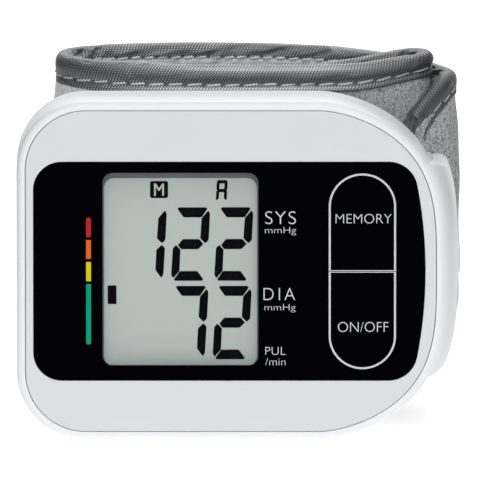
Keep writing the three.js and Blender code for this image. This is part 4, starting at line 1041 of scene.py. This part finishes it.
def puckers(way, inwards, side):
    """Small folds of the tape, in mm outwards: slanting waves of seeded lengths, stronger in patches, near the
    stitches and where the strip turns sharply, less long slanting creases inside and a pit at each stitch hole."""
    place_along = np.interp(way, RIM_WAY[:-1], RIM_LINE[:, 0])
    turn = ease(np.abs(np.interp(place_along, ALONG, BEND)) / 0.16)
    patch = 0.35 + 0.65 * ease(0.5 + 0.6 * ripple(way, 0 * way, 21, 5, 70, 16))
    slant = way + side * 1.1 * inwards
    waves = ripple(slant, 0.4 * inwards, 22 + side, 7, 13, 3.6)
    near_stitch = np.exp(-((inwards - STITCH_IN[side] + 0.9) / 1.5) ** 2)
    bow = BOW * np.sin(2 * np.pi * way / BOW_STEP)
    crease = np.sin(2 * np.pi * (way - CREASE_SLANT * (8.0 + inwards * 1.2)) / CREASE_STEP + bow).clip(0)
    hollow = (side < 0) * crease * ease(inwards / 0.8) * (1 - ease((inwards - 2.0) / 0.5))
    beat = (np.cos(2 * np.pi * way * STITCH_COUNT[side] / RIM_WAY[-1]) - 0.3).clip(0)
    hollow = hollow + beat * np.exp(-((inwards - STITCH_IN[side]) / 0.45) ** 2)
    return waves * patch * (0.09 - 0.03 * side) * (1 + 1.8 * near_stitch) * (1 + 0.9 * turn) - 0.2 * hollow


def tape_round(count):
    """Even steps over the tape, from the outer stitches round the edge to the inner ones: their inwards and side."""
    fine = np.concatenate([np.linspace(-STITCH_IN[1], 0, 300), np.linspace(0, STITCH_IN[-1], 300)[1:]])
    side = np.where(fine < 0, 1, -1)
    girth = np.hypot(np.diff(fine), np.diff(side * roll_half(np.abs(fine), side, 0)))
    girth = np.concatenate([[0], np.cumsum(girth)])
    spot = np.interp(np.linspace(0, girth[-1], count), girth, fine)
    return np.abs(spot), np.where(spot < 0, 1, -1)


def blown_up(start, sewn, slack, frames=26):
    """Where Blender's Cloth brings a sheet, closed along its rows, when its two sides are drawn from start to
    sewn over the first frames, it is cut longer than its seat by slack, and it is filled; sizes are forty times
    the real ones, which suits the solver."""
    rows, cols = start.shape[:2]
    enlarged = 40
    sheet = skin("tape_sheet", start * enlarged, (True, False))
    sheet.shape_key_add(name="cut")
    pull = sheet.shape_key_add(name="sewn")
    pull.data.foreach_set("co", (sewn * enlarged).ravel())
    seam = sheet.vertex_groups.new(name="seam")
    seam.add([k for k in range(rows * cols) if k % cols in (0, cols - 1)], 1.0, "REPLACE")
    longer = sheet.vertex_groups.new(name="longer")
    for index, value in enumerate(slack.ravel()):
        longer.add([index], float(value), "REPLACE")
    cloth = sheet.modifiers.new("cloth", "CLOTH")
    rule = cloth.settings
    rule.quality, rule.mass, rule.air_damping = 8, 0.15, 2.0
    rule.tension_stiffness, rule.compression_stiffness, rule.shear_stiffness = 40, 40, 15
    rule.bending_stiffness = 0.3
    rule.vertex_group_mass = "seam"
    rule.vertex_group_shrink = "longer"
    rule.shrink_min, rule.shrink_max = 0.0, -0.08
    rule.use_pressure, rule.uniform_pressure_force = True, 3.0
    rule.effector_weights.gravity = 0.0
    cloth.point_cache.frame_end = frames
    for value, frame_number in ((0.0, 1), (1.0, 13)):
        pull.value = value
        pull.keyframe_insert("value", frame=frame_number)
    for frame_number in range(1, frames + 1):
        bpy.context.scene.frame_set(frame_number)
    held = sheet.evaluated_get(bpy.context.evaluated_depsgraph_get()).data
    after = np.empty(rows * cols * 3)
    held.vertices.foreach_get("co", after)
    bpy.data.objects.remove(sheet)
    bpy.context.scene.frame_set(1)
    return after.reshape(rows, cols, 3) / enlarged


def spread(moves, step, spot):
    """Moves of the coarse grid carried to the fine one: cubic along the closed length, straight over the girth,
    and none beyond the stitches."""
    rows, cols = moves.shape[:2]
    coarse, side = tape_round(cols)
    share = np.interp(spot, -side * coarse, np.arange(cols))
    low = share.astype(int).clip(0, cols - 2)
    blend = (share - low)[None, :, None]
    over = moves[:, low] * (1 - blend) + moves[:, low + 1] * blend
    place_of = np.interp(np.arange(len(RIM_LINE)), np.append(step, len(RIM_LINE)), np.arange(rows + 1))
    row = place_of.astype(int)
    t = (place_of - row)[:, None, None]
    p, q, r, w = (over[(row + k) % rows] for k in (-1, 0, 1, 2))
    return q + 0.5 * t * (r - p + t * (2 * p - 5 * q + 4 * r - w + t * (3 * (q - r) + w - p)))


def tape_moves(rows=540, cols=16):
    """The simulated moves of the tape over a coarse grid of its length and girth, each at most 0.5 mm, and the
    fine rows it is set on. The tape starts flatter than its seat and is sewn askew, its inside ahead of its outside
    by up to 0.25, so that it fills out into slanting folds."""
    furthest, pressed = 0.0005, 0.16
    inwards, side = tape_round(cols)
    step = np.arange(rows) * len(RIM_LINE) // rows
    way = RIM_WAY[step][:, None]

    def tape_point(askew, flat):
        """Points of the tape sewn on with its rows moved by askew and its edge sunk by flat, in mm."""
        spots = (way + askew) % RIM_WAY[-1]
        line, way_in = (np.stack([np.interp(spots, RIM_WAY, np.append(v[:, k], v[0, k])) for k in range(2)])
                        for v in (RIM_LINE, RIM_IN))
        sunk = inwards + flat * (1 - inwards / np.where(side > 0, STITCH_IN[1], STITCH_IN[-1]))
        return strip_point(*(line + way_in * sunk), side * roll_half(inwards, side, turning(line[0])))

    turn = ease(np.abs(np.interp(RIM_LINE[step, :1], ALONG, BEND)) / 0.12)
    patch = 0.15 + 0.3 * ease(0.5 + 0.6 * ripple(way, 4.0 * inwards * side, 33, 6, 60, 9))
    askew = (0.15 + 0.1 * ripple(way, 0 * way, 34, 5, 90, 18)) * np.linspace(-0.5, 0.5, cols)
    slack = np.where(side > 0, patch, patch + 0.85 * turn).clip(0, 1)
    moves = blown_up(tape_point(0 * askew, pressed), tape_point(askew, pressed), slack) - tape_point(0 * askew, 0.0)
    return moves * np.minimum(1, furthest / np.linalg.norm(moves, axis=-1, keepdims=True).clip(1e-9)), step


def binding_grid():
    """The tape carried along the strip's edge: over the outside, round the edge and down the inside, then back
    underneath; a point lies inwards from the edge by its profile and outwards by half the roll's thickness, and is
    moved as the simulated tape round it."""
    q = np.linspace(0, np.pi / 2, 14)
    inwards = np.concatenate([1.2 * (1 - np.cos(q)), 1.2 + (ROLL_WIDE - 1.2) * np.linspace(0, 1, 25)[1:]])
    inwards = np.concatenate([inwards[::-1], inwards[1:]])
    side = np.where(np.arange(len(inwards)) < len(inwards) // 2 + 1, 1, -1)
    way = RIM_WAY[:-1, None]
    swell = np.where(side > 0, puckers(way, inwards[None], 1), puckers(way, inwards[None], -1))
    out = side * (roll_half(inwards, side, turning(RIM_LINE[:, :1])) + swell * ease(inwards / 0.6))
    under = np.array([(ROLL_WIDE - 0.1, -1.15), (1.3, -1.0), (1.3, 1.0), (ROLL_WIDE - 0.1, 1.15)])
    spot = np.concatenate([-side * inwards, under[:, 0] * 9])
    inwards = np.concatenate([inwards, under[:, 0]])
    out = np.hstack([out, np.broadcast_to(under[:, 1], (len(way), 4))])
    along = RIM_LINE[:, :1] + RIM_IN[:, :1] * inwards
    height = RIM_LINE[:, 1:] + RIM_IN[:, 1:] * inwards
    girth = np.concatenate([[0], np.cumsum(np.hypot(np.diff(inwards), np.diff(out[0])))])
    closing = girth[-1] + math.hypot(inwards[0] - inwards[-1], out[0, 0] - out[0, -1])
    uv = np.stack(np.broadcast_arrays(RIM_WAY[:, None], np.append(girth, closing)[None]), -1)
    points = strip_point(along, height, out)
    points += spread(*tape_moves(), spot)
    return points, uv


tape_cloth, at = finish("tape_cloth", "UV")
way_round, girth_way = at.axis(0), at.axis(1)
# Painted light and shade over the tape's girth in mm, from its outer edge over the roll to its inner edge: the flat
# edges and the crest light, the front of the roll and its inner side darker
PAINTED_SHADING = ((0.0, 1.0), (1.3, 1.0), (1.75, 0.85), (2.3, 0.8), (2.9, 0.5), (3.5, 0.27), (4.1, 0.25), (4.6, 0.36),
        (5.0, 0.65), (5.4, 1.0), (5.8, 1.0), (6.2, 0.72), (6.9, 0.64), (7.8, 0.64), (8.6, 0.52), (9.4, 0.56),
        (10.2, 0.65), (10.9, 1.0), (11.4, 1.0), (14.0, 1.0))
GIRTH = PAINTED_SHADING[-1][0]
painted_shading_stops = [(girth / GIRTH, grey) for girth, grey in PAINTED_SHADING]
tone_and_painted_shading = at.node("ShaderNodeValToRGB", {"stops": painted_shading_stops}, {"Fac": girth_way * (1 / GIRTH)})
# Painted shade: towards the roll's sides the crest and the outer edge are darker, and all of the tape more so on the
# right
spot = at.sideways()
off_middle = (1 - spot.between(-0.022, -0.007)) + spot.between(0.016, 0.034)
crest_side_shade = off_middle * girth_way.between(4.4, 5.4) * (1 - girth_way.between(6.0, 6.6))
sides = (spot - 0.002).size().between(0.012, 0.03) * (1 - girth_way.between(1.5, 2.4))
tone_and_painted_shading = tone_and_painted_shading * (1 - crest_side_shade * 0.4) * (1 - sides * 0.5) * (1 - spot.between(0.018, 0.034) * 0.35)
# Painted shade: the creases inside the roll and the stitch holes are darker
bow = (way_round * (2 * math.pi / BOW_STEP)).sine() * BOW
crease = ((way_round - girth_way * CREASE_SLANT) * (2 * math.pi / CREASE_STEP) + bow).sine()
hollow = crease.between(-0.2, 0.9) * girth_way.between(7.4, 8.8) * (1 - girth_way.between(10.4, 11.0))
for side, sewn in STITCH_GIRTH.items():
    near = (girth_way - sewn).size().between(0.15, 0.55)
    beat = way_round.math("COSINE", way_round * (2 * math.pi * STITCH_COUNT[side] / RIM_WAY[-1]))
    tone_and_painted_shading = tone_and_painted_shading * (1 - beat.between(0.5, 1.0) * (1 - near) * 0.7)
# Painted light: where the tape is lightest, and past the inner stitches, the threads are lifted further and the gaps
# between them filled
woven(tape_cloth, at, THREADS, (0.014, 0.0146, 0.0168), (0.85, 0.862, 0.89), 6e-5,
      tone_and_painted_shading * (1 - hollow * 0.5), tone_and_painted_shading.between(0.6, 1.0) * 0.25 + girth_way.between(10.8, 11.4) * 0.2)
binding_points, binding_uv = binding_grid()
binding = skin("cuff_edge", binding_points, (True, True), binding_uv, 75)
dress(binding, tape_cloth, "monitor", "woven_fabric", "cuff_binding")

# Stitches: a row of lock stitches along each edge of the binding, in twisted light grey polyester thread,
# drawn tight so that each stitch dips into the tape at both ends.


def stitch_row(side, dash, radius=0.2):
    """A row of stitches as small spindles: along each, the middle line follows the sewn line and dips at both
    ends by 0.4 t^4, and its round section narrows to the ends as the square root of 1 - t^6."""
    line = RIM_LINE + RIM_IN * STITCH_IN[side]
    loop = np.vstack([line, line[:1]])
    count = STITCH_COUNT[side]
    wobble = np.random.default_rng(40 + side).normal(0, 1, (2, count, 1))
    t = np.linspace(-1, 1, 9)[None]
    spot = (np.arange(count)[:, None] + 0.5) * RIM_WAY[-1] / count + 0.08 * wobble[0] + t * dash / 2
    along, height = (np.interp(spot, RIM_WAY, loop[:, k]) for k in range(2))
    height = height + 0.05 * wobble[1] + 0.15 * side * t
    fold = turning(along)
    out = side * (roll_half(np.array(STITCH_IN[side]), side, fold) + 0.26 - 0.14 * fold - 0.4 * t ** 4)
    middle = strip_point(along, height, out)
    outer = strip_point(along, height, out + side) - middle
    outer /= np.linalg.norm(outer, axis=-1, keepdims=True)
    ahead = np.gradient(middle, axis=1)
    upper = np.cross(outer, ahead)
    upper /= np.linalg.norm(upper, axis=-1, keepdims=True)
    angle = np.linspace(0, 2 * np.pi, 7, endpoint=False)
    girth = (radius * np.sqrt((1 - t ** 6).clip(0)) * 0.001)[..., None, None]
    ring = np.cos(angle)[:, None] * outer[..., None, :] + np.sin(angle)[:, None] * upper[..., None, :]
    return middle[..., None, :] + girth * ring


thread, at = finish("grey_thread", "UV")
ply = ((at.axis(0) * 5.0 + at.axis(1)) * (2 * math.pi)).sine() * 0.5 + 0.5
# Painted shade: the thread is darker towards the roll's sides; the twist of its ply is its own
ply_and_painted_shade = (0.5 + ply * 0.5) * (1 - at.sideways().size().between(0.02, 0.036) * 0.7)
surface(thread, at, {"Base Color": ply_and_painted_shade.tint((0.1, 0.102, 0.106), (1.0, 1.0, 1.0)), "Roughness": 0.6,
                     "Sheen Weight": 0.2}, ply, 5e-5)
rows = [stitch_row(1, 3.1), stitch_row(-1, 2.05)]
points, faces, marks = [], [], []
for row in rows:
    count, rings, sides = row.shape[:3]
    quads = net(rings, sides, (False, True))
    first = sum(map(len, points))
    points.append(row.reshape(-1, 3))
    faces.append((quads[None] + (first + np.arange(count) * rings * sides)[:, None, None]).reshape(-1, 4))
    corner = net(rings, sides + 1, (False, False))
    over, round_it = np.linspace(0, 1, rings)[:, None], np.linspace(0, 1, sides + 1)[None]
    mark = np.stack(np.broadcast_arrays(over, round_it), -1)
    marks.append(np.tile(mark.reshape(-1, 2)[corner], (count, 1, 1)))
stitches = solid("cuff_stitches", np.vstack(points), np.vstack(faces), np.vstack(marks), 80)
dress(stitches, thread, "monitor", "woven_fabric")

# Hook patch: a strip of moulded nylon hook tape, nearly black, sewn inside the flap end. Its rows of small
# hooks grip the loop fabric when the cuff is wrapped round a wrist.
hook_tape, at = finish("hook_tape", "UV")
hooks = at.node("ShaderNodeTexVoronoi", {"feature": "F1"}, {"Vector": at, "Scale": 1.6, "Randomness": 0.15})
surface(hook_tape, at, {"Base Color": hooks.between(0.1, 0.6).tint((0.09, 0.092, 0.095), (0.02, 0.02, 0.022)),
                        "Roughness": 0.5}, 1 - hooks, 4e-4)
PATCH_LOW, PATCH_HIGH = -12.3, 21.7
along = np.linspace(LENGTH - 15.5, LENGTH - 6.5, 24)[:, None]
height = np.linspace(PATCH_LOW, PATCH_HIGH, 60)[None]
from_ends = np.minimum(along - along.min(), along.max() - along)
edge = np.minimum(from_ends, np.minimum(height - PATCH_LOW, PATCH_HIGH - height))
raised = -1.72 - 0.43 * ease(edge / 0.5 + 0.25)
patch_out = np.hstack([raised, np.full_like(raised, -1.7)[:, ::-1]])
patch_height = np.broadcast_to(np.hstack([height, height[:, ::-1]]), patch_out.shape)
patch_along = np.broadcast_to(along, patch_out.shape)
close = [np.vstack([v[:1], v, v[-1:]]) for v in (patch_along, patch_height, patch_out)]
close[2][[0, -1]] = -1.75
patch_uv = np.stack(close[:2], -1)
patch_uv = np.concatenate([patch_uv, patch_uv[:, :1]], 1)
patch = skin("hook_tape", strip_point(*close), (False, True), patch_uv, 50)
dress(patch, hook_tape, "monitor", "woven_fabric", "hook_patch")

# Studio: a white paper floor, a sheet of the same paper that curves up behind and only throws light, soft
# panels above, in front and behind, a black card at each side that only shades, a sky that is white to the
# camera and dimmer as a light, and a long lens ten degrees above the face.
sweep_white, at = finish("sweep_white")
surface(sweep_white, at, {"Base Color": at.noise(6, 2).tint((0.5, 0.5, 0.5), (0.52, 0.52, 0.52)),
                          "Roughness": 0.9, "Specular IOR Level": 0.0,
                          "Emission Color": (1, 1, 1, 1), "Emission Strength": 0.75})
across = np.linspace(-2.5, 2.5, 9)[:, None]
turn = np.linspace(0, np.pi / 2, 25)
rise_run, rise_climb = np.append(0.9 + 0.9 * np.sin(turn), 1.8), np.append(0.9 - 0.9 * np.cos(turn), 2.6)
FLOOR = -0.0002
papers = (("paper_floor", np.linspace(-2.5, 2.5, 9), np.full(9, FLOOR), True),
          ("paper_rise", rise_run, rise_climb, False))
for name, run, climb, shown in papers:
    paper = skin(name, np.stack(np.broadcast_arrays(across, run[None], climb[None]), -1), (False, False))
    paper.data.materials.append(sweep_white)
    paper.visible_camera = shown


def lamp(name, at_point, look_at, size, power):
    """A rectangular soft light at a point, turned to look at another."""
    light = bpy.data.lights.new(name, "AREA")
    light.shape, light.size, light.size_y, light.energy = "RECTANGLE", size[0], size[1], power
    stand = bpy.data.objects.new(name, light)
    stand.location = at_point
    stand.rotation_euler = (Vector(look_at) - Vector(at_point)).to_track_quat("-Z", "Y").to_euler()
    bpy.context.scene.collection.objects.link(stand)
    return stand


middle = (0.0, 0.0, 0.035)
lamp("top_panel", (0.1, -0.4, 0.95), middle, (0.9, 0.7), 4.4)
lamp("front_panel_light", (0.0, -1.3, 0.75), middle, (0.9, 0.6), 7.0)
lamp("back_panel", (0.0, 0.8, 0.75), middle, (1.0, 0.5), 4.0)
card_black, at = finish("card_black")
surface(card_black, at, {
    "Base Color": at.noise(30, 2).tint((0.02, 0.02, 0.02), (0.03, 0.03, 0.03)), "Roughness": 0.9})
card_run, card_climb = np.array([[-0.4], [0.3]]), np.array([[0.0, 0.4]])
for name, x in (("left_card", -0.19), ("right_card", 0.22)):
    card = skin(name, np.stack(np.broadcast_arrays(x, card_run, card_climb), -1), (False, False))
    card.data.materials.append(card_black)
    card.visible_camera = False
SKY_LIGHT = 0.35
sky = bpy.data.worlds.new("studio")
sky.use_nodes = True
background = sky.node_tree.nodes["Background"]
background.inputs["Color"].default_value = (1, 1, 1, 1)
seen = Wire(sky.node_tree, None).node("ShaderNodeLightPath")
sky.node_tree.links.new((SKY_LIGHT + seen * (1 - SKY_LIGHT)).socket, background.inputs["Strength"])
bpy.context.scene.world = sky
bpy.context.scene.view_settings.view_transform = "Standard"

TILT, DISTANCE = math.radians(10), 4.3
AIM_RIGHT, AIM_UP = 0.00172, 0.00595
LENS_PER_METRE = 396
aim = FACE_MIDDLE + np.array([AIM_RIGHT, AIM_UP * math.sin(TILT), AIM_UP * math.cos(TILT)])
lens = bpy.data.cameras.new("camera")
lens.lens, lens.sensor_width, lens.clip_end = LENS_PER_METRE * DISTANCE, 36, 30
camera = bpy.data.objects.new("camera", lens)
camera.location = aim + DISTANCE * np.array([0, -math.cos(TILT), math.sin(TILT)])
camera.rotation_euler = (math.pi / 2 - TILT, 0, 0)
bpy.context.scene.collection.objects.link(camera)
bpy.context.scene.camera = camera
